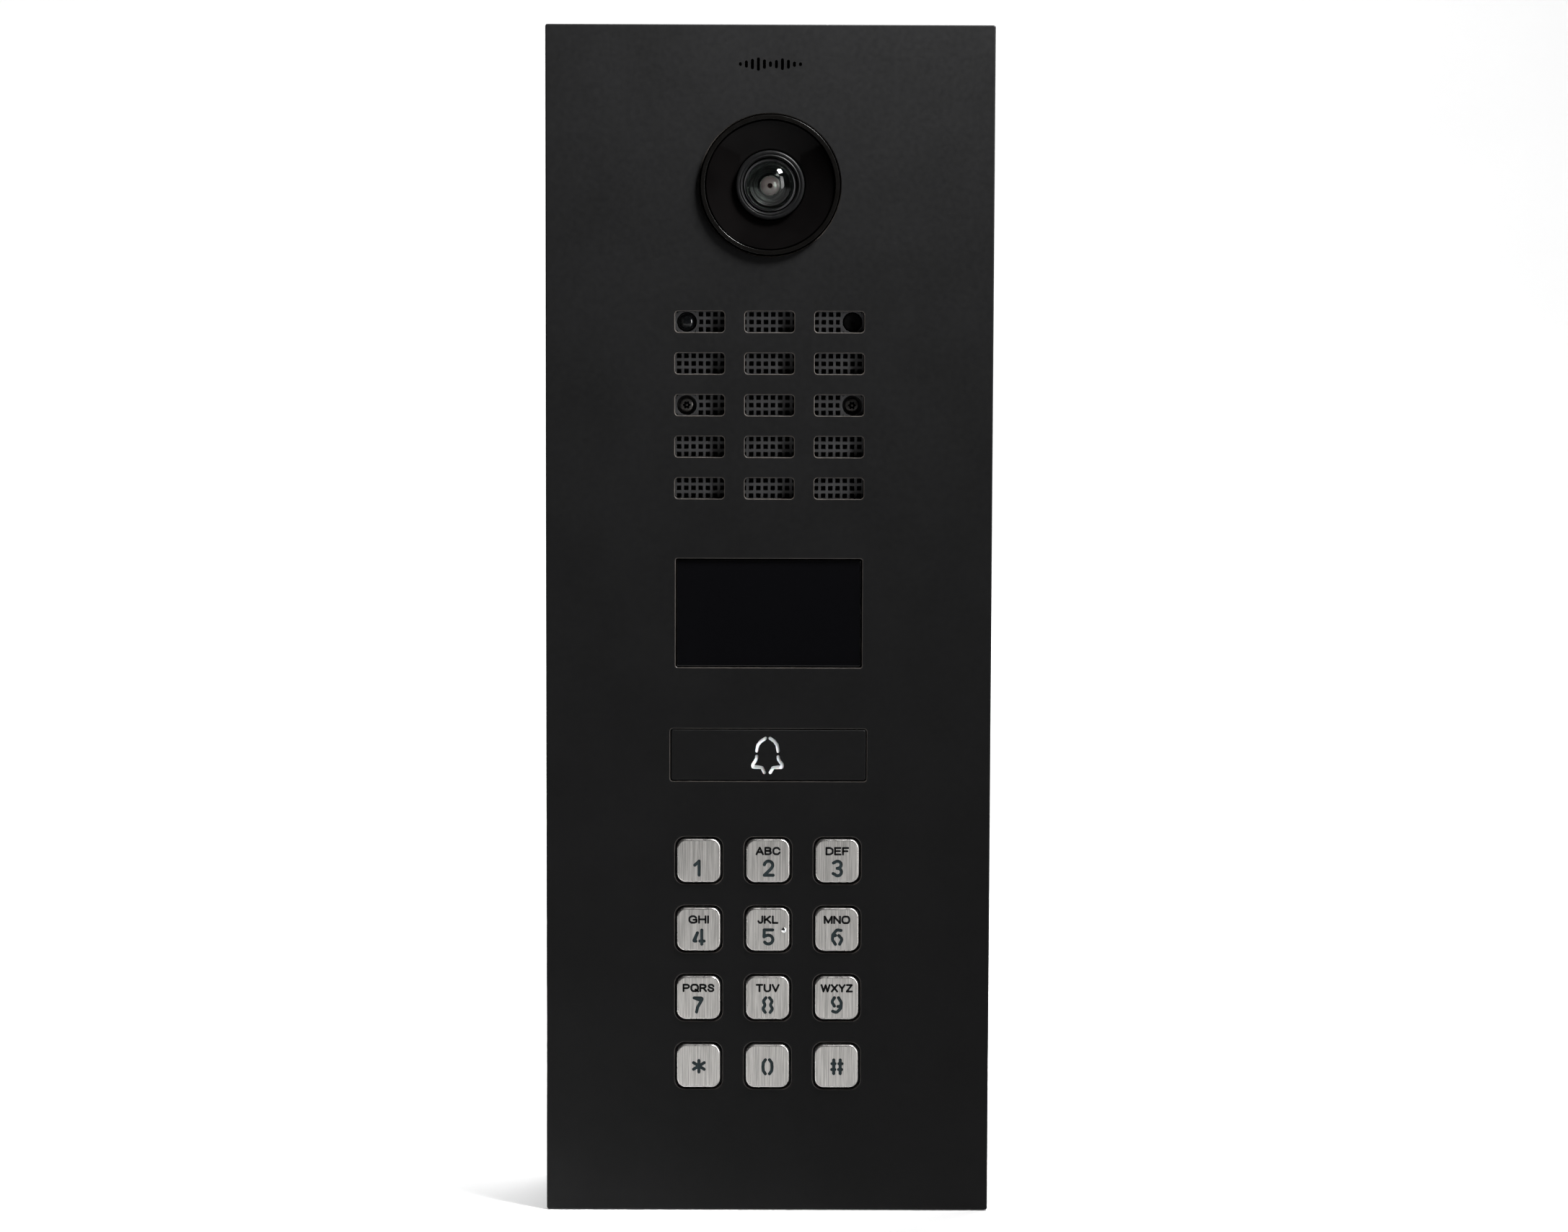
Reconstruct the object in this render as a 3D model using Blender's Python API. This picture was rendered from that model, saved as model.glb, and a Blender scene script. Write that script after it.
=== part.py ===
"""Flush-mounted door intercom panel: plate, camera, speech grille, display, call button, keypad and wall box.

The origin is the centre of the mounting box's rear face. +Z is up, +X is to the right of a visitor, and +Y
points into the wall, so the front faces -Y. Sizes are in millimetres and become metres when a mesh is stored.
"""

import math

import bmesh
import bpy
from mathutils import Matrix, Vector

MM = 0.001
GAP = 0.3  # clearance between neighbouring pieces

# Driving dimensions of the plate and the wall box
PLATE_WIDTH, PLATE_HEIGHT, PLATE_THICKNESS = 120.0, 320.0, 3.0
BOX_WIDTH, BOX_HEIGHT, BOX_DEPTH, BOX_WALL = 106.0, 306.0, 44.0, 1.5
GASKET_THICKNESS = 1.0
WALL_PLANE = -BOX_DEPTH
PLATE_BACK = WALL_PLANE - GASKET_THICKNESS - GAP
FRONT = PLATE_BACK - PLATE_THICKNESS
BEHIND = PLATE_BACK + GAP  # where pieces start behind the plate

# Layout of the face
PITCH = 18.72  # shared by the slot columns and by the keys, both ways
COLUMNS = (-PITCH, 0.0, PITCH)
CAMERA = (0.0, 117.5)
CAMERA_HOLE = 18.95
SLOT_WIDTH, SLOT_HEIGHT, SLOT_CORNER = 13.2, 5.6, 1.0
SLOT_PITCH, SLOT_ROWS, GRILLE_Z = 11.15, 5, 58.8
DISPLAY = (0.0, 2.9)
DISPLAY_WIDTH, DISPLAY_HEIGHT, DISPLAY_CORNER = 50.2, 29.4, 0.6
BUTTON = (0.0, -35.5)
BUTTON_WIDTH, BUTTON_HEIGHT, BUTTON_CORNER = 53.0, 14.2, 0.8
BUTTON_CLEARANCE = 0.4
KEY_TOP_Z = -64.2
KEY_HOLE, KEY_HOLE_CORNER = 12.9, 2.7
KEY_SIZE, KEY_CORNER, KEY_PROUD = 11.9, 2.3, 0.6
KEY_NAMES = (("1", "2", "3"), ("4", "5", "6"), ("7", "8", "9"), ("star", "0", "hash"))
BOSS_X = 22.25  # screws, light sensor and microphone stand this far from the centre line
SENSOR_Z = GRILLE_Z + 2 * SLOT_PITCH
BOSS_POINTS = ((-BOSS_X, GRILLE_Z), (BOSS_X, GRILLE_Z), (-BOSS_X, SENSOR_Z), (BOSS_X, SENSOR_Z))
SCREW_POINTS = BOSS_POINTS[:2]
SCREW_SHANK, SCREW_CLEARANCE = 1.5, 1.85

# Travel of the moving pieces, for the gaps behind them
BUTTON_TRAVEL = 0.8
KEY_TRAVEL = 1.0


# ---------------------------------------------------------------- outlines in the plane of the face (x, z)


def circle(radius, segments=32, centre=(0.0, 0.0)):
    turn = 2 * math.pi / segments
    return [
        (centre[0] + radius * math.cos(turn * i), centre[1] + radius * math.sin(turn * i))
        for i in range(segments)
    ]


def rectangle(width, height, corner=0.0, centre=(0.0, 0.0), segments=3):
    """A rectangle, with its corners rounded when corner is more than 0."""
    if corner <= 0:
        segments = 0
    points = []
    for quarter, (sx, sz) in enumerate(((1, 1), (-1, 1), (-1, -1), (1, -1))):
        for step in range(segments + 1):
            angle = math.pi / 2 * (quarter + (step / segments if segments else 0.5))
            x = sx * (width / 2 - corner) + corner * math.cos(angle)
            z = sz * (height / 2 - corner) + corner * math.sin(angle)
            points.append((centre[0] + x, centre[1] + z))
    return points


def stroke(points, width, cap_steps=4):
    """The outline of a pen stroke of this width along points, with round ends."""
    half = width / 2
    line = [Vector(p) for p in points]
    runs = [(b - a).normalized() for a, b in zip(line, line[1:])]
    left, right = [], []
    for i, point in enumerate(line):
        before, after = runs[max(i - 1, 0)], runs[min(i, len(runs) - 1)]
        along = (before + after).normalized()
        reach = half / max(along.dot(after), 0.5)
        side = Vector((-along.y, along.x)) * reach
        left.append(point + side)
        right.append(point - side)

    def cap(centre, heading):
        turns = [heading + math.pi / 2 - math.pi * (i + 1) / (cap_steps + 1) for i in range(cap_steps)]
        return [centre + half * Vector((math.cos(a), math.sin(a))) for a in turns]

    far = cap(line[-1], math.atan2(runs[-1].y, runs[-1].x))
    near = cap(line[0], math.atan2(runs[0].y, runs[0].x) + math.pi)
    return [tuple(p) for p in left + far + right[::-1] + near]


def arc(centre, radius, start, end, steps):
    """Points on an arc, with angles in degrees."""
    angles = [math.radians(start + (end - start) * i / steps) for i in range(steps + 1)]
    return [(centre[0] + radius * math.cos(a), centre[1] + radius * math.sin(a)) for a in angles]


# ---------------------------------------------------------------- solids as bmeshes, in millimetres


def extruded(outer, front, back, holes=()):
    """A plate of this outline between two depths, with through holes."""
    curve = bpy.data.curves.new("outline", "CURVE")
    curve.dimensions, curve.fill_mode = "2D", "BOTH"
    curve.extrude = (back - front) / 2
    for outline in (outer, *holes):
        spline = curve.splines.new("POLY")
        spline.points.add(len(outline) - 1)
        spline.use_cyclic_u = True
        for point, (x, z) in zip(spline.points, outline):
            point.co = (x, z, 0, 1)
    helper = bpy.data.objects.new("outline", curve)
    mesh = bpy.data.meshes.new_from_object(helper)
    bm = bmesh.new()
    bm.from_mesh(mesh)
    bpy.data.objects.remove(helper)
    bpy.data.curves.remove(curve)
    bpy.data.meshes.remove(mesh)
    upright = Matrix.Translation((0, (front + back) / 2, 0)) @ Matrix.Rotation(math.pi / 2, 4, "X")
    bmesh.ops.transform(bm, matrix=upright, verts=bm.verts)
    return closed(bm)


def turned(profile, segments=32):
    """A solid of revolution about the Y axis, from (radius, y) points; a run on the axis is left open."""
    bm = bmesh.new()
    points = [bm.verts.new((radius, y, 0)) for radius, y in profile]
    for a, b in zip(points, points[1:] + points[:1]):
        if a.co.x > 0 or b.co.x > 0:
            bm.edges.new((a, b))
    bmesh.ops.spin(
        bm,
        geom=bm.verts[:] + bm.edges[:],
        cent=(0, 0, 0),
        axis=(0, 1, 0),
        angle=2 * math.pi,
        steps=segments,
        use_merge=True,
    )
    return closed(bm)


def cylinder(radius, front, back, segments=12):
    return turned([(0, front), (radius, front), (radius, back), (0, back)], segments)


def stood_up(bm, side=1):
    """Turns a solid from lying along +Y to standing along +Z, or along -Z for the side -1."""
    bmesh.ops.rotate(bm, matrix=Matrix.Rotation(side * math.pi / 2, 3, "X"), verts=bm.verts)
    return bm


def cuboid(x, y, z):
    bm = bmesh.new()
    bmesh.ops.create_cube(bm, size=1)
    size = Matrix.Diagonal((x[1] - x[0], y[1] - y[0], z[1] - z[0], 1))
    middle = Matrix.Translation(((x[0] + x[1]) / 2, (y[0] + y[1]) / 2, (z[0] + z[1]) / 2))
    bmesh.ops.transform(bm, matrix=middle @ size, verts=bm.verts)
    return bm


def swept(path, width, thickness, along="X"):
    """A strip of sheet bent in one plane: path is (y, z) points for a bend about X, or (x, y) about Z."""
    half = thickness / 2
    line = [Vector(p) for p in path]
    runs = [(b - a).normalized() for a, b in zip(line, line[1:])]
    sides = []
    for i in range(len(line)):
        mean = (runs[max(i - 1, 0)] + runs[min(i, len(runs) - 1)]).normalized()
        reach = half / mean.dot(runs[min(i, len(runs) - 1)])
        sides.append(Vector((-mean.y, mean.x)) * reach)
    outline = [p + s for p, s in zip(line, sides)] + [p - s for p, s in zip(line[::-1], sides[::-1])]
    bm = bmesh.new()
    rings = []
    for end in (-width / 2, width / 2):
        if along == "X":
            rings.append([bm.verts.new((end, p.x, p.y)) for p in outline])
        else:
            rings.append([bm.verts.new((p.x, p.y, end)) for p in outline])
    count = len(outline)
    for i in range(count):
        j = (i + 1) % count
        bm.faces.new((rings[0][i], rings[0][j], rings[1][j], rings[1][i]))
    for ring in rings:
        for i in range(len(line) - 1):
            bm.faces.new((ring[i], ring[i + 1], ring[count - 2 - i], ring[count - 1 - i]))
    return closed(bm)


def closed(bm):
    """Merges touching points and turns every face outwards."""
    bmesh.ops.remove_doubles(bm, verts=bm.verts, dist=1e-4)
    bmesh.ops.dissolve_degenerate(bm, edges=bm.edges, dist=1e-5)
    bmesh.ops.recalc_face_normals(bm, faces=bm.faces)
    return bm


def moved(bm, x=0.0, y=0.0, z=0.0):
    bmesh.ops.translate(bm, vec=(x, y, z), verts=bm.verts)
    return bm


def together(solids):
    """Several separate solids as one mesh, for a cutter or for what a union adds."""
    whole = bmesh.new()
    for bm in solids:
        mesh = bpy.data.meshes.new("piece")
        bm.to_mesh(mesh)
        bm.free()
        whole.from_mesh(mesh)
        bpy.data.meshes.remove(mesh)
    return whole


# ---------------------------------------------------------------- materials and nodes


def material(name, colour, roughness, metallic=0.0, transmission=0.0):
    made = bpy.data.materials.new(name)
    made.use_nodes = True
    shader = made.node_tree.nodes["Principled BSDF"]
    shader.inputs["Base Color"].default_value = (*colour, 1.0)
    shader.inputs["Roughness"].default_value = roughness
    shader.inputs["Metallic"].default_value = metallic
    shader.inputs["Transmission Weight"].default_value = transmission
    made.diffuse_color = (*colour, 1.0)
    return made


def make_materials():
    return {
        "black_coat": material("black_coat", (0.012, 0.012, 0.012), 0.42),
        "steel_key": material("steel_key", (0.52, 0.52, 0.51), 0.32, 1.0),
        "zinc_sheet": material("zinc_sheet", (0.50, 0.51, 0.52), 0.45, 0.9),
        "screw_steel": material("screw_steel", (0.03, 0.03, 0.03), 0.35, 0.8),
        "black_plastic": material("black_plastic", (0.02, 0.02, 0.02), 0.5),
        "gloss_black": material("gloss_black", (0.004, 0.004, 0.004), 0.08),
        "lens": material("lens", (0.9, 0.92, 0.95), 0.02, 0.0, 1.0),
        "rubber": material("rubber", (0.02, 0.02, 0.02), 0.8),
        "silicone": material("silicone", (0.35, 0.36, 0.36), 0.7),
        "diffuser": material("diffuser", (0.85, 0.85, 0.82), 0.4),
        "board": material("board", (0.01, 0.12, 0.05), 0.5),
        "felt": material("felt", (0.03, 0.03, 0.03), 0.95),
        "paper_cone": material("paper_cone", (0.05, 0.05, 0.05), 0.9),
    }


def place(obj, at, parent=None):
    """Puts an object in the scene with its origin at the point at, in millimetres."""
    bpy.context.scene.collection.objects.link(obj)
    obj.location = Vector(at) * MM
    if parent:
        obj.parent = parent
        obj.matrix_parent_inverse = parent.matrix_world.inverted()
    return obj


def store(name, bm, at, parent=None):
    """Stores a bmesh, drawn in millimetres, as an object in metres."""
    bmesh.ops.scale(bm, vec=(MM, MM, MM), verts=bm.verts)
    mesh = bpy.data.meshes.new(name)
    bm.to_mesh(mesh)
    bm.free()
    return place(bpy.data.objects.new(name, mesh), at, parent)


def node(name, bm, finish, at=(0, 0, 0), steps=(), parent=None):
    """One sub-part. Each step is ("join" or "cut", solids in the same local frame), a Boolean in turn."""
    obj = store(name, bm, at, parent)
    for number, (operation, solids) in enumerate(steps, 1):
        tool = store(f"{operation}_{number}_{name}", together(solids), at, parent)
        tool.hide_render = True
        tool.display_type = "WIRE"
        modifier = obj.modifiers.new(f"{operation}_{number}", "BOOLEAN")
        modifier.operation = {"join": "UNION", "cut": "DIFFERENCE"}[operation]
        modifier.object = tool
    obj.data.materials.append(FINISHES[finish])
    obj.data.shade_smooth()
    obj.data.set_sharp_from_angle(angle=math.radians(35))
    return obj


def pivot(name, at):
    """An empty on a slide's line of travel, which the pieces that move together are parented to."""
    empty = place(bpy.data.objects.new(name, None), at)
    bpy.context.view_layer.update()
    return empty


# ---------------------------------------------------------------- the plate, its seal and the wall box


def slot_centres():
    top = GRILLE_Z + SLOT_PITCH * (SLOT_ROWS - 1) / 2
    return [(x, top - SLOT_PITCH * row) for row in range(SLOT_ROWS) for x in COLUMNS]


def key_centres():
    return [
        (name, (x, KEY_TOP_Z - PITCH * row))
        for row, names in enumerate(KEY_NAMES)
        for name, x in zip(names, COLUMNS)
    ]


def front_plate():
    holes = [circle(CAMERA_HOLE, 40, CAMERA)]
    holes += [rectangle(SLOT_WIDTH, SLOT_HEIGHT, SLOT_CORNER, c, 2) for c in slot_centres()]
    holes.append(rectangle(DISPLAY_WIDTH, DISPLAY_HEIGHT, DISPLAY_CORNER, DISPLAY, 2))
    holes.append(rectangle(BUTTON_WIDTH, BUTTON_HEIGHT, BUTTON_CORNER, BUTTON, 2))
    holes += [rectangle(KEY_HOLE, KEY_HOLE, KEY_HOLE_CORNER, c) for _, c in key_centres()]
    plate = extruded(rectangle(PLATE_WIDTH, PLATE_HEIGHT), FRONT, PLATE_BACK, holes)
    node("front_plate", plate, "black_coat")


def plate_gasket():
    outer = rectangle(PLATE_WIDTH - 3, PLATE_HEIGHT - 3, 2, segments=2)
    inner = rectangle(PLATE_WIDTH - 11, PLATE_HEIGHT - 11, 2, segments=2)
    node("plate_gasket", extruded(outer, WALL_PLANE - GASKET_THICKNESS, WALL_PLANE, [inner]), "rubber")


ENTRY_Y, ENTRY_RADIUS = -8.75, 5.5  # cable entries in the box's top and bottom walls
LUG_Y, LUG_REACH = -37.0, 2.3  # the ledge inside the box's top wall that the hook catches on
EARTH_POINT = (38.0, -138.0)


def mounting_box():
    inside_x, inside_z = BOX_WIDTH / 2 - BOX_WALL, BOX_HEIGHT / 2 - BOX_WALL
    shell = extruded(rectangle(BOX_WIDTH, BOX_HEIGHT, 2, segments=2), WALL_PLANE, 0)
    hollow = extruded(rectangle(2 * inside_x, 2 * inside_z, 0.8, segments=1), WALL_PLANE - 1, -BOX_WALL)
    entries = []
    for side in (-1, 1):
        entries.append(moved(stood_up(cylinder(ENTRY_RADIUS, -6, 6, 20)), 0, ENTRY_Y, side * BOX_HEIGHT / 2))
    screw_points = ((-34, -120), (34, -120), (-34, 120), (34, 120), EARTH_POINT)
    screw_holes = [moved(cylinder(2, -4, 4), x, 0, z) for x, z in screw_points]
    lug = cuboid((-24, 24), (LUG_Y, LUG_Y + 1.5), (inside_z - LUG_REACH, inside_z + 0.7))
    steps = [("cut", [hollow]), ("cut", entries + screw_holes), ("join", [lug])]
    node("mounting_box", shell, "zinc_sheet", steps=steps)


def hanging_hook():
    """An angle behind the plate whose foot drops behind the box's lug."""
    top = BOX_HEIGHT / 2 - BOX_WALL
    leg_z, foot_y = top - LUG_REACH - 1.9, LUG_Y + 3.1
    path = [(BEHIND, leg_z), (foot_y, leg_z), (foot_y, top - 0.8)]
    node("hanging_hook", swept(path, 40, 1.5), "zinc_sheet")


BRACKET_Y, BRACKET_HEIGHT = -12.5, 12.0


def fixing_bracket():
    """The hat-shaped strap in the box that the two fixing screws thread into."""
    foot, leg = 49.0, 41.0
    back = -BOX_WALL - GAP - 0.75
    path = [(-foot, back), (-leg, back), (-leg, BRACKET_Y), (leg, BRACKET_Y), (leg, back), (foot, back)]
    holes = [moved(cylinder(SCREW_CLEARANCE, -3, 3), x, BRACKET_Y) for x, _ in SCREW_POINTS]
    strap = swept(path, BRACKET_HEIGHT, 1.5, along="Z")
    node("fixing_bracket", strap, "zinc_sheet", (0, 0, GRILLE_Z), [("cut", holes)])


HEAD_FRONT, HEAD_BACK = -43.9, -41.8
SHANK_END = -9.5


def fixing_screws():
    head, socket, socket_depth = 2.0, 1.1, 1.2
    for side, (x, z) in zip(("left", "right"), SCREW_POINTS):
        profile = [
            (0, HEAD_FRONT),
            (head - 0.4, HEAD_FRONT),
            (head, HEAD_FRONT + 0.4),
            (head, HEAD_BACK),
            (SCREW_SHANK, HEAD_BACK),
            (SCREW_SHANK, SHANK_END - 1),
            (SCREW_SHANK - 0.8, SHANK_END),
            (0, SHANK_END),
        ]
        key_hole = extruded(circle(socket, 6), HEAD_FRONT - 1, HEAD_FRONT + socket_depth)
        node(f"fixing_screw_{side}", turned(profile, 16), "screw_steel", (x, 0, z), [("cut", [key_hole])])


def cable_grommets():
    """Blind rubber grommets, pierced when a cable is pulled in."""
    neck, flange, thick = ENTRY_RADIUS - GAP, ENTRY_RADIUS + 2, 1.2
    outside, inside = GAP + thick, -BOX_WALL - GAP - thick
    profile = [
        (0, outside),
        (flange, outside),
        (flange, GAP),
        (neck, GAP),
        (neck, -BOX_WALL - GAP),
        (flange - 1, -BOX_WALL - GAP),
        (flange - 1.4, inside),
        (neck - 1.5, inside),
        (neck - 1.5, outside - thick - 0.4),
        (0, outside - thick - 0.4),
    ]
    for side, label in ((1, "top"), (-1, "bottom")):
        bm = stood_up(turned(profile, 16), side)
        node(f"cable_grommet_{label}", bm, "rubber", (0, ENTRY_Y, side * BOX_HEIGHT / 2))


def earth_screw():
    front, back = -BOX_WALL - GAP - 2.4, -BOX_WALL - GAP
    profile = [(0, front), (3.2, front), (3.5, front + 0.4), (3.5, back), (1.6, back), (1.6, -0.4), (0, -0.4)]
    x, z = EARTH_POINT
    slot = cuboid((-4, 4), (front - 1, front + 0.9), (-0.5, 0.5))
    node("earth_screw", turned(profile, 16), "zinc_sheet", (x, 0, z), [("cut", [slot])])


# ---------------------------------------------------------------- camera


def at_camera():
    return (CAMERA[0], 0, CAMERA[1])


def camera_bezel():
    outer, lip, inner, ledge = 18.6, 17.9, 17.45, 16.6
    top, step, flange_front, flange_back = FRONT - 1.3, -47.3, -44.0, -42.5
    profile = [
        (outer, flange_front),
        (outer, FRONT - 0.3),
        (lip, top),
        (inner, top),
        (inner, step),
        (ledge, step),
        (ledge, flange_back),
        (21.3, flange_back),
        (21.3, flange_front),
    ]
    node("camera_bezel", turned(profile, 32), "black_plastic", at_camera())
    seal = [(19.2, BEHIND), (21.2, BEHIND), (21.2, flange_front - GAP), (19.2, flange_front - GAP)]
    node("camera_seal", turned(seal, 24), "rubber", at_camera())


def ir_window():
    """The dished window between the bezel and the lens that passes infra-red light."""
    profile = [(17.15, -49.0), (9.5, -47.2), (9.5, -46.0), (17.15, -47.8)]
    node("ir_window", turned(profile, 32), "gloss_black", at_camera())


def lens_parts():
    collar = [(7.3, -48.2), (7.7, -48.6), (8.8, -48.6), (9.2, -48.2), (9.2, -44.6), (7.3, -44.6)]
    node("lens_collar", turned(collar, 24), "black_plastic", at_camera())

    rim, ball, rim_y = 6.1, 8.0, -48.3
    centre = rim_y + math.sqrt(ball**2 - rim**2)
    dome = [(r, centre - math.sqrt(ball**2 - r**2)) for r in (0, 2.0, 3.8, 5.2, rim)]
    bowl_radius, bowl_rim, back = 5.6, 4.6, -46.9
    bowl_centre = back + math.sqrt(bowl_radius**2 - bowl_rim**2)
    bowl = [(r, bowl_centre - math.sqrt(bowl_radius**2 - r**2)) for r in (bowl_rim, 2.6, 0)]
    node("lens_glass", turned([*dome, (rim, back), *bowl], 24), "lens", at_camera())

    barrel = [
        (6.4, -47.9),
        (7.0, -47.9),
        (7.0, -28.0),
        (3.2, -28.0),
        (3.2, -44.5),
        (5.0, -46.3),
        (5.0, -46.6),
        (6.4, -46.6),
    ]
    node("lens_barrel", turned(barrel, 20), "black_plastic", at_camera())
    inner = [(0, -45.9), (1.4, -45.6), (2.5, -44.9), (2.9, -44.1), (2.9, -42.0), (0, -42.0)]
    node("inner_lens", turned(inner, 16), "lens", at_camera())


def camera_boards():
    ring = turned([(9.6, -44.0), (16.3, -44.0), (16.3, -42.6), (9.6, -42.6)], 32)
    count, led_ring = 12, 12.8
    leds = []
    for i in range(count):
        angle = 2 * math.pi * (i + 0.5) / count
        led = turned([(0, -45.7), (1.0, -45.4), (1.5, -44.7), (1.5, -43.6), (0, -43.6)], 6)
        leds.append(moved(led, led_ring * math.cos(angle), 0, led_ring * math.sin(angle)))
    node("ir_led_board", ring, "board", at_camera(), [("join", leds)])

    board = cuboid((-13, 13), (-27.0, -25.8), (-13, 13))
    chip = cuboid((-4.5, 4.5), (-27.7, -26.7), (-4.5, 4.5))
    node("sensor_board", board, "board", at_camera(), [("join", [chip])])


def camera_housing():
    outer, inner, front, back, floor = 21.3, 19.6, -42.2, -24.0, 1.5
    profile = [(inner, front), (outer, front), (outer, back), (0, back)]
    profile += [(0, back - floor), (inner, back - floor)]
    node("camera_housing", turned(profile, 32), "black_plastic", at_camera())


# ---------------------------------------------------------------- speech grille and its neighbours


INSERT_FRONT, INSERT_BACK = BEHIND, -43.0
BOSS_RADIUS, COUNTERBORE = 3.4, 2.65
BOSS_BACK, BOSS_FLOOR = -39.5, -41.5


def grille_insert():
    """The moulded lattice behind the slots, with pockets for the screws, microphone and light sensor."""
    rib, bars = 0.9, 3
    windows = []
    for x, z in slot_centres():
        pitch = SLOT_WIDTH / bars
        for i in range(bars):
            centre = (x - SLOT_WIDTH / 2 + pitch * (i + 0.5), z)
            if all(math.hypot(centre[0] - bx, centre[1] - bz) > BOSS_RADIUS + 1.5 for bx, bz in BOSS_POINTS):
                half_width, half_height = (pitch - rib) / 2, SLOT_HEIGHT / 2 - 0.3
                x_range = (centre[0] - half_width, centre[0] + half_width)
                z_range = (z - half_height, z + half_height)
                windows.append(cuboid(x_range, (INSERT_FRONT - 1, INSERT_BACK + 1), z_range))
    plate = extruded(rectangle(55.2, 56.4, 1.5, (0, GRILLE_Z), 2), INSERT_FRONT, INSERT_BACK)
    bosses = [extruded(circle(BOSS_RADIUS, 16, p), INSERT_BACK - 0.5, BOSS_BACK) for p in BOSS_POINTS]
    pockets = [extruded(circle(COUNTERBORE, 16, p), INSERT_FRONT - 1, BOSS_FLOOR) for p in SCREW_POINTS]
    through = BOSS_BACK + 1
    pockets += [extruded(circle(COUNTERBORE, 16, p), INSERT_FRONT - 1, through) for p in BOSS_POINTS[2:]]
    bores = [extruded(circle(SCREW_CLEARANCE, 12, p), BOSS_FLOOR - 1, through) for p in SCREW_POINTS]
    steps = [("join", bosses), ("cut", windows + pockets), ("cut", bores)]
    node("grille_insert", plate, "black_plastic", steps=steps)


def acoustic_mesh():
    front = INSERT_BACK + GAP
    holes = [circle(BOSS_RADIUS + GAP, 12, p) for p in BOSS_POINTS]
    sheet = extruded(rectangle(54, 55, 0, (0, GRILLE_Z)), front, front + 0.4, holes)
    node("acoustic_mesh", sheet, "felt")


def face_sensors():
    """The light sensor on the left and the microphone in its rubber boot on the right."""
    radius, front, back = 2.35, -44.7, -38.0
    (left_x, z), (right_x, _) = BOSS_POINTS[2:]
    dome = [(0, front), (1.2, front + 0.15), (2.0, front + 0.6), (radius, front + 1.1)]
    dome += [(radius, back), (0, back)]
    node("light_sensor", turned(dome, 16), "lens", (left_x, 0, z))
    wall, floor = 0.4, 1.0
    inner, floor_y = radius - wall, front + floor
    boot = [(0, front), (radius - 0.3, front), (radius, front + 0.3), (radius, back)]
    boot += [(inner, back), (inner, floor_y), (0, floor_y)]
    node("microphone_boot", turned(boot, 16), "rubber", (right_x, 0, z))
    capsule = inner - GAP
    body = [(0, floor_y + GAP), (capsule, floor_y + GAP), (capsule, back - 0.4), (0, back - 0.4)]
    node("microphone", turned(body, 12), "zinc_sheet", (right_x, 0, z))


SPEAKER = (0, 0, 56.0)


def speaker():
    rim, front, seat, back, wall = 17.2, -41.9, -40.7, -33.0, 1.2
    frame = [
        (14.6, front),
        (rim, front),
        (rim, seat),
        (15.0, seat),
        (9.0, back),
        (0, back),
        (0, back - wall),
        (8.4, back - wall),
    ]
    node("speaker_frame", turned(frame, 24), "zinc_sheet", SPEAKER)
    cone = [(13.7, front + 0.1), (13.7, front + 0.6), (5.0, -36.0), (0, -36.8), (0, -37.3), (5.2, -36.7)]
    node("speaker_cone", turned(cone, 20), "paper_cone", SPEAKER)
    node("speaker_magnet", cylinder(9.5, back + GAP, back + GAP + 5, 20), "zinc_sheet", SPEAKER)
    inner, outer, end, floor = rim + GAP, rim + GAP + 1.2, -24.5, 1.5
    chamber = [(inner, front), (outer, front), (outer, end), (0, end), (0, end - floor), (inner, end - floor)]
    node("speaker_chamber", turned(chamber, 24), "black_plastic", SPEAKER)


# ---------------------------------------------------------------- display


def display():
    at = (DISPLAY[0], 0, DISPLAY[1])
    flange_width, flange_height, flange_front = DISPLAY_WIDTH + 6, DISPLAY_HEIGHT + 6, -44.3
    flange_back = flange_front + 1
    flange = extruded(rectangle(flange_width, flange_height, 1, segments=2), flange_front, flange_back)
    pane_outline = rectangle(DISPLAY_WIDTH - 2 * GAP, DISPLAY_HEIGHT - 2 * GAP, 0.4, segments=2)
    pane = extruded(pane_outline, FRONT + 0.6, flange_front + 0.4)
    node("display_window", flange, "gloss_black", at, [("join", [pane])])
    opening = rectangle(DISPLAY_WIDTH + 1, DISPLAY_HEIGHT + 1, 1, segments=2)
    outline = rectangle(flange_width, flange_height, 1, segments=2)
    ring = extruded(outline, BEHIND, flange_front - GAP, [opening])
    node("display_seal", ring, "rubber", at)
    panel_front, panel_back = flange_back + GAP, flange_back + GAP + 3
    pocket = cuboid((-27, 27), (panel_front - 1, panel_back + GAP), (-16, 16))
    frame = extruded(rectangle(63, 42, 2, segments=2), panel_front, panel_back + GAP + 1.5)
    node("display_frame", frame, "black_plastic", at, [("cut", [pocket])])
    node("lcd_panel", cuboid((-26.6, 26.6), (panel_front, panel_back), (-15.6, 15.6)), "gloss_black", at)


# ---------------------------------------------------------------- call button


BELL_STROKE = 1.05
BELL_AT = (-0.2, -0.1)
CAP_BACK = FRONT + 2.0
FLANGE_BACK = BEHIND + 1.6


def bell_strokes():
    """The outline of a bell as four strokes, mirrored left and right."""
    crown = arc((0, 1.8), 2.95, 108, 190, 5)
    skirt = [(-2.9, -0.3), (-3.0, -1.0), (-3.45, -1.65), (-3.9, -2.4), (-4.0, -3.15)]
    skirt += [(-1.45, -3.15), (-0.85, -4.5)]
    strokes = []
    for line in (crown, skirt):
        for side in (1, -1):
            points = [(side * x + BELL_AT[0], z + BELL_AT[1]) for x, z in line]
            strokes.append(stroke(points, BELL_STROKE, 2))
    return strokes


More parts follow.
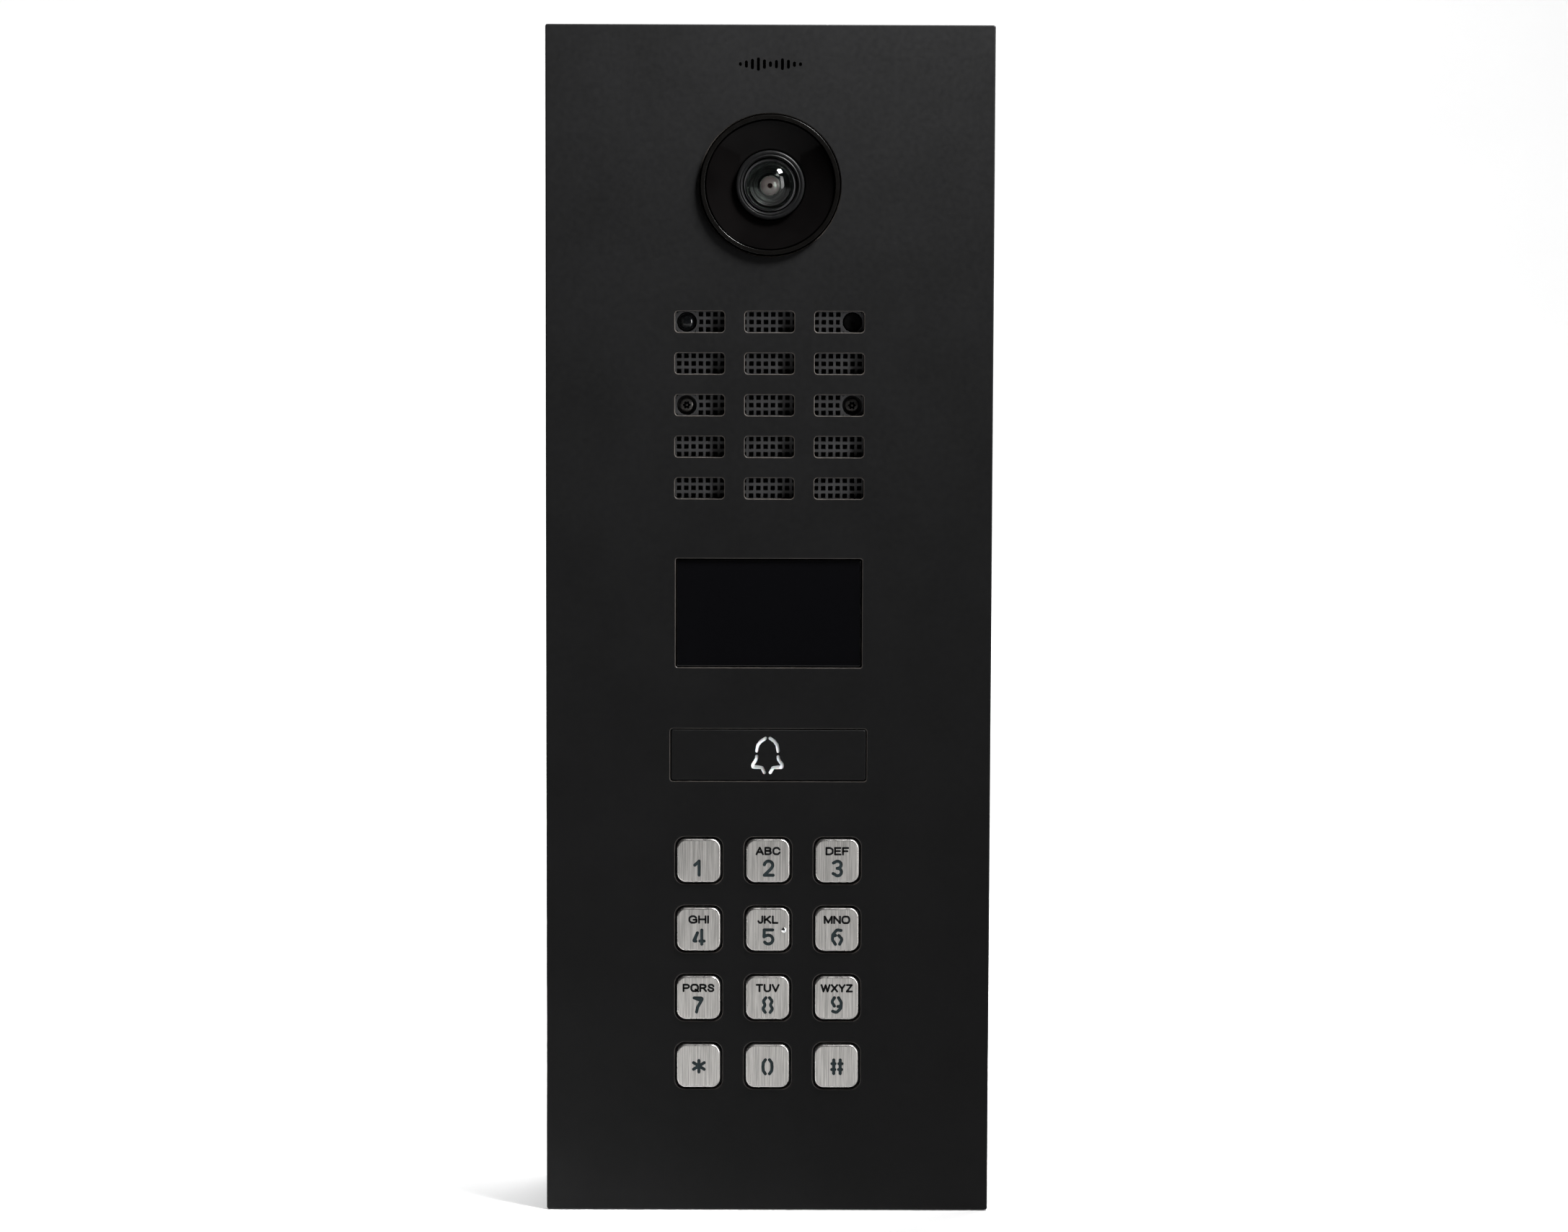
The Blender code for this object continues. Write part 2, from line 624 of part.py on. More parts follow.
def call_button():
    at = (BUTTON[0], 0, BUTTON[1])
    slide = pivot("call_button_slide", (BUTTON[0], FRONT, BUTTON[1]))
    width, height = BUTTON_WIDTH - 2 * BUTTON_CLEARANCE, BUTTON_HEIGHT - 2 * BUTTON_CLEARANCE
    cap = extruded(rectangle(width, height, 0.5, segments=2), FRONT, CAP_BACK)
    bell = [extruded(outline, FRONT - 1, CAP_BACK + 1) for outline in bell_strokes()]
    node("call_button_cap", cap, "black_coat", at, [("cut", bell)], slide)

    half_width, half_height = 7.2, 5.45
    guide = cuboid((-half_width, half_width), (CAP_BACK + GAP, FLANGE_BACK), (-half_height, half_height))
    node("bell_light_guide", guide, "diffuser", at, parent=slide)

    flange = extruded(rectangle(56.2, 17.4, 1, segments=1), BEHIND, FLANGE_BACK)
    block = extruded(rectangle(width - 0.4, height - 0.4), CAP_BACK + GAP, BEHIND + 0.5)
    pins = [moved(cylinder(1.8, FLANGE_BACK - 0.5, -38.5, 10), x) for x in (-SPRING_X, SPRING_X)]
    pocket_width, pocket_height = half_width + GAP, half_height + GAP
    pocket_depth = (FRONT, FLANGE_BACK + GAP)
    pocket = cuboid((-pocket_width, pocket_width), pocket_depth, (-pocket_height, pocket_height))
    root, tip = FLANGE_BACK - 0.8, PLUNGER_TIP - 0.6
    bridge = swept([(-9, root), (-9, tip), (9, tip), (9, root)], 2.4, 1.2, along="Z")
    steps = [("join", [block, *pins]), ("cut", [pocket]), ("join", [bridge])]
    node("call_button_carrier", flange, "black_plastic", at, steps, slide)


SPRING_X, SPRING_RADIUS, SPRING_WIRE, SPRING_TURNS = 20.0, 2.7, 0.3, 3.5
PLUNGER_TIP = -41.2
SWITCH_TOP = PLUNGER_TIP + BUTTON_TRAVEL + 0.1
BOARD_FRONT = -36.1


def return_springs():
    """Two coil springs round the carrier's guide pins."""
    start, end = FLANGE_BACK + GAP + SPRING_WIRE, BOARD_FRONT - GAP - SPRING_WIRE
    steps_per_turn = 9
    steps = round(SPRING_TURNS * steps_per_turn)
    for side, x in (("left", -SPRING_X), ("right", SPRING_X)):
        curve = bpy.data.curves.new(f"call_button_spring_{side}", "CURVE")
        curve.dimensions, curve.bevel_depth, curve.bevel_resolution = "3D", SPRING_WIRE * MM, 1
        curve.use_fill_caps = True
        spline = curve.splines.new("POLY")
        spline.points.add(steps)
        for i, point in enumerate(spline.points):
            angle = 2 * math.pi * i / steps_per_turn
            y = start + (end - start) * i / steps
            on_coil = Vector((SPRING_RADIUS * math.cos(angle), y, SPRING_RADIUS * math.sin(angle)))
            point.co = (*on_coil * MM, 1)
        curve.materials.append(FINISHES["zinc_sheet"])
        place(bpy.data.objects.new(curve.name, curve), (BUTTON[0] + x, 0, BUTTON[1]))


def call_button_base():
    at = (BUTTON[0], 0, BUTTON[1])
    body_front = SWITCH_TOP + 1
    body = cuboid((-3, 3), (body_front, BOARD_FRONT - GAP), (-3, 3))
    knob = cylinder(1.6, SWITCH_TOP, body_front + 0.4)
    node("call_button_switch", body, "black_plastic", at, [("join", [knob])])
    board = cuboid((-28, 28), (BOARD_FRONT, BOARD_FRONT + 1.6), (-8.5, 8.5))
    node("call_button_board", board, "board", at)
    shell = extruded(rectangle(61, 22, 1.5, segments=2), BEHIND, -32.8)
    hollow = extruded(rectangle(57.2, 18.4, 0.6, segments=1), BEHIND - 1, BOARD_FRONT + 1.6 + GAP)
    node("call_button_housing", shell, "black_plastic", at, [("cut", [hollow])])


# ---------------------------------------------------------------- keypad


KEY_FLANGE_BACK = BEHIND + 1.0
KEY_STUB_TIP = -41.8
DOME_TOP = KEY_STUB_TIP + KEY_TRAVEL + 0.2
MAT_FRONT, MAT_BACK = -37.7, -36.7
KEYPAD_Z = KEY_TOP_Z - 1.5 * PITCH


def keys():
    """Twelve metal caps, each cast in one piece with the flange that keeps it behind the plate."""
    for name, (x, z) in key_centres():
        at = (x, 0, z)
        body = extruded(rectangle(KEY_SIZE, KEY_SIZE, KEY_CORNER), FRONT - KEY_PROUD, BEHIND + 0.4)
        flange = extruded(rectangle(14.6, 14.6, 2, segments=1), BEHIND, KEY_FLANGE_BACK)
        stub = extruded(circle(2.2, 8), KEY_FLANGE_BACK - 0.4, KEY_STUB_TIP)
        slide = pivot(f"key_{name}_slide", (x, FRONT, z))
        node(f"key_{name}", body, "steel_key", at, [("join", [flange]), ("join", [stub])], slide)


def keypad_base():
    at = (0, 0, KEYPAD_Z)
    centres = [(x, z - KEYPAD_Z) for _, (x, z) in key_centres()]
    pockets = [rectangle(15.4, 15.4, 0, c) for c in centres]
    frame = extruded(rectangle(61, 79, 2, segments=2), BEHIND, MAT_FRONT - GAP, pockets)
    node("keypad_frame", frame, "black_plastic", at)
    dome = [(0, DOME_TOP), (2.0, DOME_TOP), (3.6, MAT_FRONT + 0.3), (0, MAT_FRONT + 0.3)]
    domes = [moved(turned(dome, 10), x, 0, z) for x, z in centres]
    sheet = cuboid((-30, 30), (MAT_FRONT, MAT_BACK), (-39, 39))
    node("keypad_mat", sheet, "silicone", at, [("join", domes)])
    board = cuboid((-30, 30), (MAT_BACK + GAP, MAT_BACK + GAP + 1.6), (-39, 39))
    node("keypad_board", board, "board", at)


# ---------------------------------------------------------------- electronics behind the modules


BOARD_Y = -21.5
COVER_BACK, COVER_WALL = -16.0, 1.8
TERMINAL_Z = -118.0


def rear_cover():
    """The shell behind the modules, open to the front, with a window for the terminals."""
    outer = extruded(rectangle(98, 292, 3, segments=2), BEHIND, COVER_BACK)
    inside = rectangle(98 - 2 * COVER_WALL, 292 - 2 * COVER_WALL, 1.5, segments=1)
    hollow = extruded(inside, BEHIND - 1, COVER_BACK - COVER_WALL)
    window = cuboid((-23, 23), (COVER_BACK - 5, COVER_BACK + 1), (TERMINAL_Z - 7, TERMINAL_Z + 7))
    holes = [extruded(circle(SCREW_CLEARANCE, 12, p), COVER_BACK - 5, COVER_BACK + 1) for p in SCREW_POINTS]
    node("rear_cover", outer, "black_plastic", steps=[("cut", [hollow]), ("cut", [window, *holes])])


def main_board():
    front, back = BOARD_Y, BOARD_Y + 1.6
    holes = [circle(SCREW_CLEARANCE, 12, p) for p in SCREW_POINTS]
    node("main_board", extruded(rectangle(88, 270), front, back, holes), "board")
    block = cuboid((-21, 21), (back + GAP, -8.0), (-5.5, 5.5))
    openings = [cuboid((x - 1.2, x + 1.2), (-12, -7), (-3, 3)) for x in (-17.5 + 5 * i for i in range(8))]
    node("terminal_block", block, "silicone", (0, 0, TERMINAL_Z), [("cut", openings)])


def keypad_ribbon():
    """The flat cable from the keypad's board to the main board, bent once each way."""
    start, end = MAT_BACK + GAP + 1.6 + GAP + 0.2, BOARD_Y - GAP - 0.2
    bend = 3.5
    path = [(start, 12), (start, 0)]
    path += [(start + bend - bend * math.cos(a), -bend * math.sin(a)) for a in (0.5, 1.0, math.pi / 2)]
    last = (0.01, 0.6, 1.1, math.pi / 2)
    path += [(end - bend + bend * math.sin(a), -2 * bend + bend * math.cos(a)) for a in last]
    path.append((end, -18))
    node("keypad_ribbon", swept(path, 14, 0.4), "felt", (0, 0, KEYPAD_Z))


for leftover in list(bpy.data.objects):
    bpy.data.objects.remove(leftover)
FINISHES = make_materials()

front_plate()
plate_gasket()
mounting_box()
hanging_hook()
fixing_bracket()
fixing_screws()
cable_grommets()
earth_screw()
camera_bezel()
ir_window()
lens_parts()
camera_boards()
camera_housing()
grille_insert()
acoustic_mesh()
face_sensors()
speaker()
display()
call_button()
return_springs()
call_button_base()
keys()
keypad_base()
rear_cover()
main_board()
keypad_ribbon()
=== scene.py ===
"""Door intercom panel: the detailed pieces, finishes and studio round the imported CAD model.

Run as a script. Sizes in the modelling code are millimetres; +Z is up and the face looks along -Y.
"""

import math

import bpy
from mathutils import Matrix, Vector


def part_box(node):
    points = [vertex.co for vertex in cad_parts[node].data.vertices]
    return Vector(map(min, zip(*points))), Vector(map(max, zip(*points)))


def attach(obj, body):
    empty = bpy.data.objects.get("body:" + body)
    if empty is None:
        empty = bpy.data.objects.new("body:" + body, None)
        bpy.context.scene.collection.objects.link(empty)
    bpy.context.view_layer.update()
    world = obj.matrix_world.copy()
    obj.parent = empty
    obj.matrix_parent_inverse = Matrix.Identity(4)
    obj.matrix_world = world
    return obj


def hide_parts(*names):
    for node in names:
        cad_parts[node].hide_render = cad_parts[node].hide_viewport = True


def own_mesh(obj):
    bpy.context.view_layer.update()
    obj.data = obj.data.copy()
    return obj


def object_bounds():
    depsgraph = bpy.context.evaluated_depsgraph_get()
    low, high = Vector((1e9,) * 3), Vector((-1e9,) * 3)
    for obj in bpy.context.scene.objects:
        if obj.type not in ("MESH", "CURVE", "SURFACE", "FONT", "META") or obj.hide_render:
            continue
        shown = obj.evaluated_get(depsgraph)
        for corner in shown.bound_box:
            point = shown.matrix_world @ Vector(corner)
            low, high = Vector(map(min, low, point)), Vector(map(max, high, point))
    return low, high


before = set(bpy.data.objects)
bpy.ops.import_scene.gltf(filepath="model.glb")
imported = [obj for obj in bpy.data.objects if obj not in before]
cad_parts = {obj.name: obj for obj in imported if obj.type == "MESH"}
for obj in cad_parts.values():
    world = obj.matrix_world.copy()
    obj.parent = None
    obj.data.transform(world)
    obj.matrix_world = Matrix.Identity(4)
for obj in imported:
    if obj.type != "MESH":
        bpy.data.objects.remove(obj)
CAD_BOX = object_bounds()

bl_info = {
    "name": "Door Intercom Panel",
    "version": (1, 0, 0),
    "blender": (4, 5, 0),
    "location": "View3D > Sidebar > Intercom",
    "description": "Builds a flush door intercom panel, its finishes and a plain studio",
    "category": "Add Mesh",
}

MM = 0.001
SMOOTH_ANGLE = math.radians(35)


# ---------------------------------------------------------------- places taken from the frame


def corners(node):
    """Lowest and highest corner of a CAD node, in millimetres."""
    low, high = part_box(node)
    return Vector(low) / MM, Vector(high) / MM


def middle(node):
    low, high = corners(node)
    return (low + high) / 2


FRONT, PLATE_BACK = corners("front_plate")[0].y, corners("front_plate")[1].y
CAMERA, DISPLAY, BUTTON = middle("camera_bezel"), middle("display_window"), middle("call_button_cap")
KEYS = ("1", "2", "3", "4", "5", "6", "7", "8", "9", "star", "0", "hash")
KEY_PITCH = middle("key_2").x - middle("key_1").x
SLOT_PITCH = 11.15
GRILLE_HEIGHT = 58.8  # of the middle row of slots
SOUND_MARK_HEIGHT = 149.5
CAMERA_HOLE_RADIUS = 18.95
DISPLAY_OPENING, BUTTON_OPENING, KEY_OPENING = (50.2, 29.4), (53.0, 14.2), (12.9, 12.9)
KEY_FACE = 11.8
BOSS_NODES = ("fixing_screw_left", "fixing_screw_right", "light_sensor", "microphone_boot")
BOSSES = {name: middle(name) for name in BOSS_NODES}


# ---------------------------------------------------------------- sizes and colours a maker would change


def length(name, description, default):
    return bpy.props.FloatProperty(
        name=name, description=description, default=default, min=0.0, unit="LENGTH", subtype="DISTANCE",
        precision=5,
    )


def colour(name, description, default):
    return bpy.props.FloatVectorProperty(
        name=name, description=description, default=default, size=3, min=0.0, max=1.0, subtype="COLOR"
    )


def amount(name, description, default):
    return bpy.props.FloatProperty(name=name, description=description, default=default, min=0.0)


class IntercomSizes(bpy.types.PropertyGroup):
    edge: length("Plate edge", "Rounding of the plate's front edges", 0.00035)
    opening_edge: length("Opening edge", "Rounding of the openings' front edges", 0.0002)
    slot_width: length("Slot width", "Width of one speech slot", 0.0132)
    slot_height: length("Slot height", "Height of one speech slot", 0.0056)
    mesh_pitch: length("Lattice pitch", "Distance between the lattice's columns", 0.001942)
    mesh_row: length("Lattice row", "Distance between the lattice's rows in a slot", 0.00204)
    mesh_hole: length("Lattice hole", "Side of one square hole", 0.00125)
    key_bevel: length("Key bevel", "Pillowed edge round each key", 0.00048)
    digit_stroke: length("Digit stroke", "Width of the strokes in the keys' digits", 0.00086)
    bell_stroke: length("Bell stroke", "Width of the strokes of the bell", 0.00092)
    letter_height: length("Letter height", "Height of the small letters", 0.0023)


class IntercomColours(bpy.types.PropertyGroup):
    coat: colour("Coat", "Satin black powder coat", (0.0018, 0.0018, 0.0019))
    steel: colour("Key steel", "Brushed stainless keys", (0.53, 0.515, 0.495))
    zinc: colour("Zinc", "Galvanised sheet", (0.29, 0.3, 0.31))
    moulding: colour("Moulding", "Moulded black plastic", (0.012, 0.012, 0.013))
    lattice: colour("Lattice", "Grey lattice behind the slots", (0.05, 0.05, 0.052))
    digit: colour("Digits", "Paint in the keys' digits", (0.010, 0.016, 0.018))
    letter: colour("Letters", "Small letters on the keys", (0.0035, 0.0035, 0.004))
    diffuser: colour("Diffuser", "White light guide behind the bell", (0.66, 0.67, 0.68))
    board: colour("Board", "Circuit board lacquer", (0.012, 0.075, 0.035))
    rubber: colour("Rubber", "Seals and grommets", (0.018, 0.018, 0.018))


class IntercomStudio(bpy.types.PropertyGroup):
    lens: amount("Lens", "Camera lens in millimetres", 82.8)
    distance: length("Distance", "From the camera to the plate", 0.9714)
    key_light: amount("Main light", "Power of the soft light at the upper right, in watts", 5.4)
    side_light: amount("Side light", "Power of the tall soft light on the right, in watts", 5.2)
    top_light: amount("Top light", "Power of the overhead light, in watts", 94.0)
    surround: amount("Surround", "Brightness of the room", 0.02)
    floor: colour("Floor", "Pale floor and backdrop", (0.93, 0.93, 0.93))


# ---------------------------------------------------------------- modelling by hand


def only(*pieces):
    """Selects just these pieces, the first one active."""
    if bpy.context.object and bpy.context.object.mode != "OBJECT":
        bpy.ops.object.mode_set(mode="OBJECT")
    bpy.ops.object.select_all(action="DESELECT")
    for piece in pieces:
        piece.select_set(True)
    bpy.context.view_layer.objects.active = pieces[0]


def edit(piece, mode="FACE"):
    """Opens a piece in edit mode with nothing selected."""
    only(piece)
    bpy.ops.object.mode_set(mode="EDIT")
    bpy.ops.mesh.select_all(action="DESELECT")
    bpy.ops.mesh.select_mode(type=mode)
    bpy.ops.object.mode_set(mode="OBJECT")


def open_whole():
    """Opens the active piece in edit mode with everything selected."""
    bpy.ops.object.mode_set(mode="EDIT")
    bpy.ops.mesh.select_all(action="SELECT")


def pick_faces(piece, test):
    """Selects the faces for which test(centre in mm, normal) holds, and opens the piece in edit mode."""
    edit(piece, "FACE")
    for face in piece.data.polygons:
        face.select = test(piece.matrix_world @ face.center / MM, face.normal)
    bpy.ops.object.mode_set(mode="EDIT")


def pick_edges(piece, test):
    """Selects the edges for which test(one end, other end) holds, in mm, and opens the piece in edit mode."""
    edit(piece, "EDGE")
    points = piece.data.vertices
    for line in piece.data.edges:
        a, b = (piece.matrix_world @ points[i].co / MM for i in line.vertices)
        line.select = test(a, b)
    bpy.ops.object.mode_set(mode="EDIT")


def done():
    bpy.ops.object.mode_set(mode="OBJECT")
    return bpy.context.object


def settle(piece):
    """Puts a piece's place, turn and size into its mesh."""
    only(piece)
    bpy.ops.object.transform_apply(location=True, rotation=True, scale=True)


def upright(a, b):
    """An edge that runs front to back."""
    return abs(a.x - b.x) < 0.01 and abs(a.z - b.z) < 0.01 and abs(a.y - b.y) > 0.01


def block(name, at, size, front, back, corner=0.0, segments=6, edge=0.0, edge_segments=3):
    """A block in millimetres, seen from the front, with rounded corners and a bevelled front edge."""
    bpy.ops.mesh.primitive_cube_add(size=1, location=(at[0] * MM, (front + back) / 2 * MM, at[1] * MM))
    piece = bpy.context.object
    piece.name = name
    piece.scale = (size[0] * MM, (back - front) * MM, size[1] * MM)
    settle(piece)
    if corner:
        pick_edges(piece, upright)
        bpy.ops.mesh.bevel(offset=corner * MM, segments=segments, affect="EDGES", clamp_overlap=False)
        done()
    if edge:
        pick_edges(piece, lambda a, b: abs(a.y - front) < 0.001 and abs(b.y - front) < 0.001)
        bpy.ops.mesh.bevel(offset=edge * MM, segments=edge_segments, affect="EDGES", clamp_overlap=False)
        done()
    return piece


def disc(name, at, radius, front, back, vertices=48):
    bpy.ops.mesh.primitive_cylinder_add(
        vertices=vertices,
        radius=radius * MM,
        depth=(back - front) * MM,
        location=(at[0] * MM, (front + back) / 2 * MM, at[1] * MM),
        rotation=(math.pi / 2, 0, 0),
    )
    piece = bpy.context.object
    piece.name = name
    settle(piece)
    return piece


def step_forward(piece, face_at, moves):
    """Extrudes the faces at y = face_at by each (dy, scale x, scale z) in turn, about their own middle."""
    rim = [v.co for v in piece.data.vertices if abs(v.co.y / MM - face_at) < 0.001]
    centre = (Vector(map(min, *rim)) + Vector(map(max, *rim))) / 2
    pick_faces(piece, lambda c, n: abs(c.y - face_at) < 0.001 and abs(n.y) > 0.9)
    for dy, sx, sz in moves:
        bpy.ops.mesh.extrude_region_move(TRANSFORM_OT_translate={"value": (0, dy * MM, 0)})
        centre.y += dy * MM
        bpy.ops.transform.resize(value=(sx, 1, sz), center_override=centre)
    return done()


def opening(at, size, corner, edge, front=None, back=None):
    """A cutter for a rounded opening through the plate whose mouth flares by edge."""
    front, back = FRONT if front is None else front, PLATE_BACK + 1 if back is None else back
    piece = block("cutter", at, size, front + edge, back, corner)
    first = [(s + 0.6 * edge) / s for s in size]
    second = [(s + 3.0 * edge) / (s + 0.6 * edge) for s in size]
    return step_forward(piece, front + edge, [(-0.65 * edge, *first), (-0.6 * edge, *second), (-1, 1, 1)])


def turned(name, profile, at, segments=96):
    """A body of revolution about the line through at along Y, from (radius, y) points in millimetres."""
    bpy.ops.mesh.primitive_plane_add(size=0.001, location=(at[0] * MM, 0, at[1] * MM))
    piece = bpy.context.object
    piece.name = name
    settle(piece)
    bpy.ops.object.mode_set(mode="EDIT")
    bpy.ops.mesh.select_mode(type="VERT")
    bpy.ops.mesh.select_all(action="SELECT")
    bpy.ops.mesh.merge(type="CENTER")
    start = Vector((at[0] * MM, 0, at[1] * MM))
    here = Vector((profile[0][0] * MM, profile[0][1] * MM, 0))
    bpy.ops.transform.translate(value=here)
    closed = profile[0][0] > 0 and profile[-1][0] > 0
    for radius, y in list(profile[1:]) + ([profile[0]] if closed else []):
        there = Vector((radius * MM, y * MM, 0))
        bpy.ops.mesh.extrude_vertices_move(TRANSFORM_OT_translate={"value": there - here})
        here = there
    bpy.ops.mesh.select_all(action="SELECT")
    bpy.ops.mesh.spin(steps=segments, angle=2 * math.pi, center=start, axis=(0, 1, 0))
    bpy.ops.mesh.select_all(action="SELECT")
    bpy.ops.mesh.remove_doubles(threshold=1e-6)
    bpy.ops.mesh.normals_make_consistent(inside=False)
    return done()


def rounded_path(points, radius, steps=5):
    """Points along a line whose corners are rounded as far as its pieces allow."""
    if len(points) < 3:
        return [Vector(p) for p in points]
    points = [Vector(p) for p in points]
    path = [points[0]]
    for before, corner, after in zip(points, points[1:], points[2:]):
        first, second = (before - corner), (after - corner)
        turn = math.pi - first.angle(second)
        reach = min(radius * math.tan(turn / 2), 0.49 * first.length, 0.49 * second.length)
        a, b = corner + first.normalized() * reach, corner + second.normalized() * reach
        for i in range(steps + 1):
            t = i / steps
            path.append(a * (1 - t) ** 2 + corner * 2 * t * (1 - t) + b * t * t)
    path.append(points[-1])
    return path


def gap_to(spot, a, b):
    """Distance from a spot to the line from a to b."""
    along = b - a
    t = max(0.0, min(1.0, (spot - a).dot(along) / along.length_squared))
    return (spot - a - along * t).length


def outlined(name, outline, front, back, at=(0, 0)):
    """A solid with the given outline in the plane of the face, as a filled curve that is given depth."""
    outline = [Vector(p) for p in outline]
    outline = [p for i, p in enumerate(outline) if (p - outline[i - 1]).length > 0.04]
    curve = bpy.data.curves.new(name, "CURVE")
    curve.dimensions, curve.fill_mode = "2D", "BOTH"
    curve.extrude = (back - front) / 2 * MM
    spline = curve.splines.new("POLY")
    spline.points.add(len(outline) - 1)
    for point, (x, y) in zip(spline.points, outline):
        point.co = (x * MM, y * MM, 0, 1)
    spline.use_cyclic_u = True
    piece = bpy.data.objects.new(name, curve)
    bpy.context.scene.collection.objects.link(piece)
    only(piece)
    bpy.ops.object.convert(target="MESH")
    piece = bpy.context.object
    piece.rotation_euler = (math.pi / 2, 0, 0)
    piece.location = (at[0] * MM, (front + back) / 2 * MM, at[1] * MM)
    settle(piece)
    open_whole()
    bpy.ops.mesh.remove_doubles(threshold=1e-6)
    bpy.ops.mesh.dissolve_limited(angle_limit=0.002)
    bpy.ops.mesh.normals_make_consistent(inside=False)
    return done()


def stroke(name, points, width, front, back, at=(0, 0), bend=0.9):
    """A solid line with round ends, from its outline in the plane of the face."""
    path = rounded_path(points, bend)
    path = [p for i, p in enumerate(path) if i == 0 or (p - path[i - 1]).length > 0.02]
    half = width / 2
    sides = ([], [])
    for i, p in enumerate(path):
        before = (p - path[i - 1]).normalized() if i else (path[1] - p).normalized()
        after = (path[i + 1] - p).normalized() if i + 1 < len(path) else before
        along = (before + after).normalized()
        across = Vector((-along.y, along.x)) * half / max(0.5, along.dot(after))
        for side, spot in zip(sides, (p + across, p - across)):
            if all(gap_to(spot, a, b) > 0.998 * half for a, b in zip(path, path[1:])):
                side.append(spot)
    outline = list(sides[0])
    for end, back_on in ((path[-1], path[-2]), (path[0], path[1])):
        heading = (end - back_on).normalized()
        start = math.atan2(heading.y, heading.x) + math.pi / 2
        for k in range(1, 8):
            turn = start - math.pi * k / 8
            outline.append(end + half * Vector((math.cos(turn), math.sin(turn))))
        if end is path[-1]:
            outline += reversed(sides[1])
    return outlined(name, outline, front, back, at)


def lettering(words, height, width, front, back, at, spread):
    """Small upright letters, each line of a letter a thin solid, spaced to fill the spread."""
    gap, tall = 0.26, height - width
    natural = sum(LETTER_LINES[c][0] for c in words) + gap * (len(words) - 1)
    scale, x = (spread - width) / natural, 0.0
    lines = []
    for c in words:
        wide, shapes = LETTER_LINES[c]
        for shape in shapes:
            points = [((x + px - natural / 2) * scale, (pz - 0.5) * tall) for px, pz in shape]
            lines.append(stroke("letter", points, width, front, back, at, 0.45))
        x += wide + gap
    return joined(*lines)


def check_closed(piece):
    """Stops the script when a piece has an edge that doesn't join exactly two faces."""
    faces_on = {}
    for face in piece.data.polygons:
        for key in face.edge_keys:
            faces_on[key] = faces_on.get(key, 0) + 1
    loose = sum(1 for count in faces_on.values() if count != 2)
    if loose or not faces_on:
        raise RuntimeError(f"{piece.name} has {loose} open edges")


def cut(piece, *cutters, paint=None, own_paint=False):
    """Takes the cutters out of a piece. The cut faces get the paint, or the cutter's own finish."""
    for cutter in cutters:
        check_closed(cutter)
        if paint:
            dress(cutter, paint)
        only(piece)
        tool = piece.modifiers.new("cut", "BOOLEAN")
        tool.operation, tool.object, tool.solver = "DIFFERENCE", cutter, "EXACT"
        tool.material_mode = "TRANSFER" if paint or own_paint else "INDEX"
        bpy.ops.object.modifier_apply(modifier=tool.name)
        bpy.data.objects.remove(cutter)
        check_closed(piece)
    return piece


def joined(*pieces):
    only(*pieces)
    bpy.ops.object.join()
    return bpy.context.object


def copied(piece, name, by):
    """A copy with its own mesh, moved by millimetres."""
    only(piece)
    bpy.ops.object.duplicate(linked=False)
    copy = bpy.context.object
    copy.name = name
    copy.location = Vector(by) * MM
    settle(copy)
    return copy


def dress(piece, finish):
    piece.data.materials.clear()
    piece.data.materials.append(FINISHES[finish])


def finished(piece, body, slot, *nodes, finish=None, smooth=SMOOTH_ANGLE):
    """Smooths a piece, gives it its finish and puts it on its body in place of the CAD nodes."""
    only(piece)
    bpy.ops.object.shade_smooth_by_angle(angle=smooth)
    flatten = piece.modifiers.new("flat_faces", "WEIGHTED_NORMAL")
    flatten.keep_sharp, flatten.weight = True, 90
    bpy.ops.object.modifier_apply(modifier=flatten.name)
    if finish:
        dress(piece, finish)
    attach(piece, body)
    if nodes:
        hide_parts(*nodes)
    return piece


# ---------------------------------------------------------------- finishes

FINISHES = {}


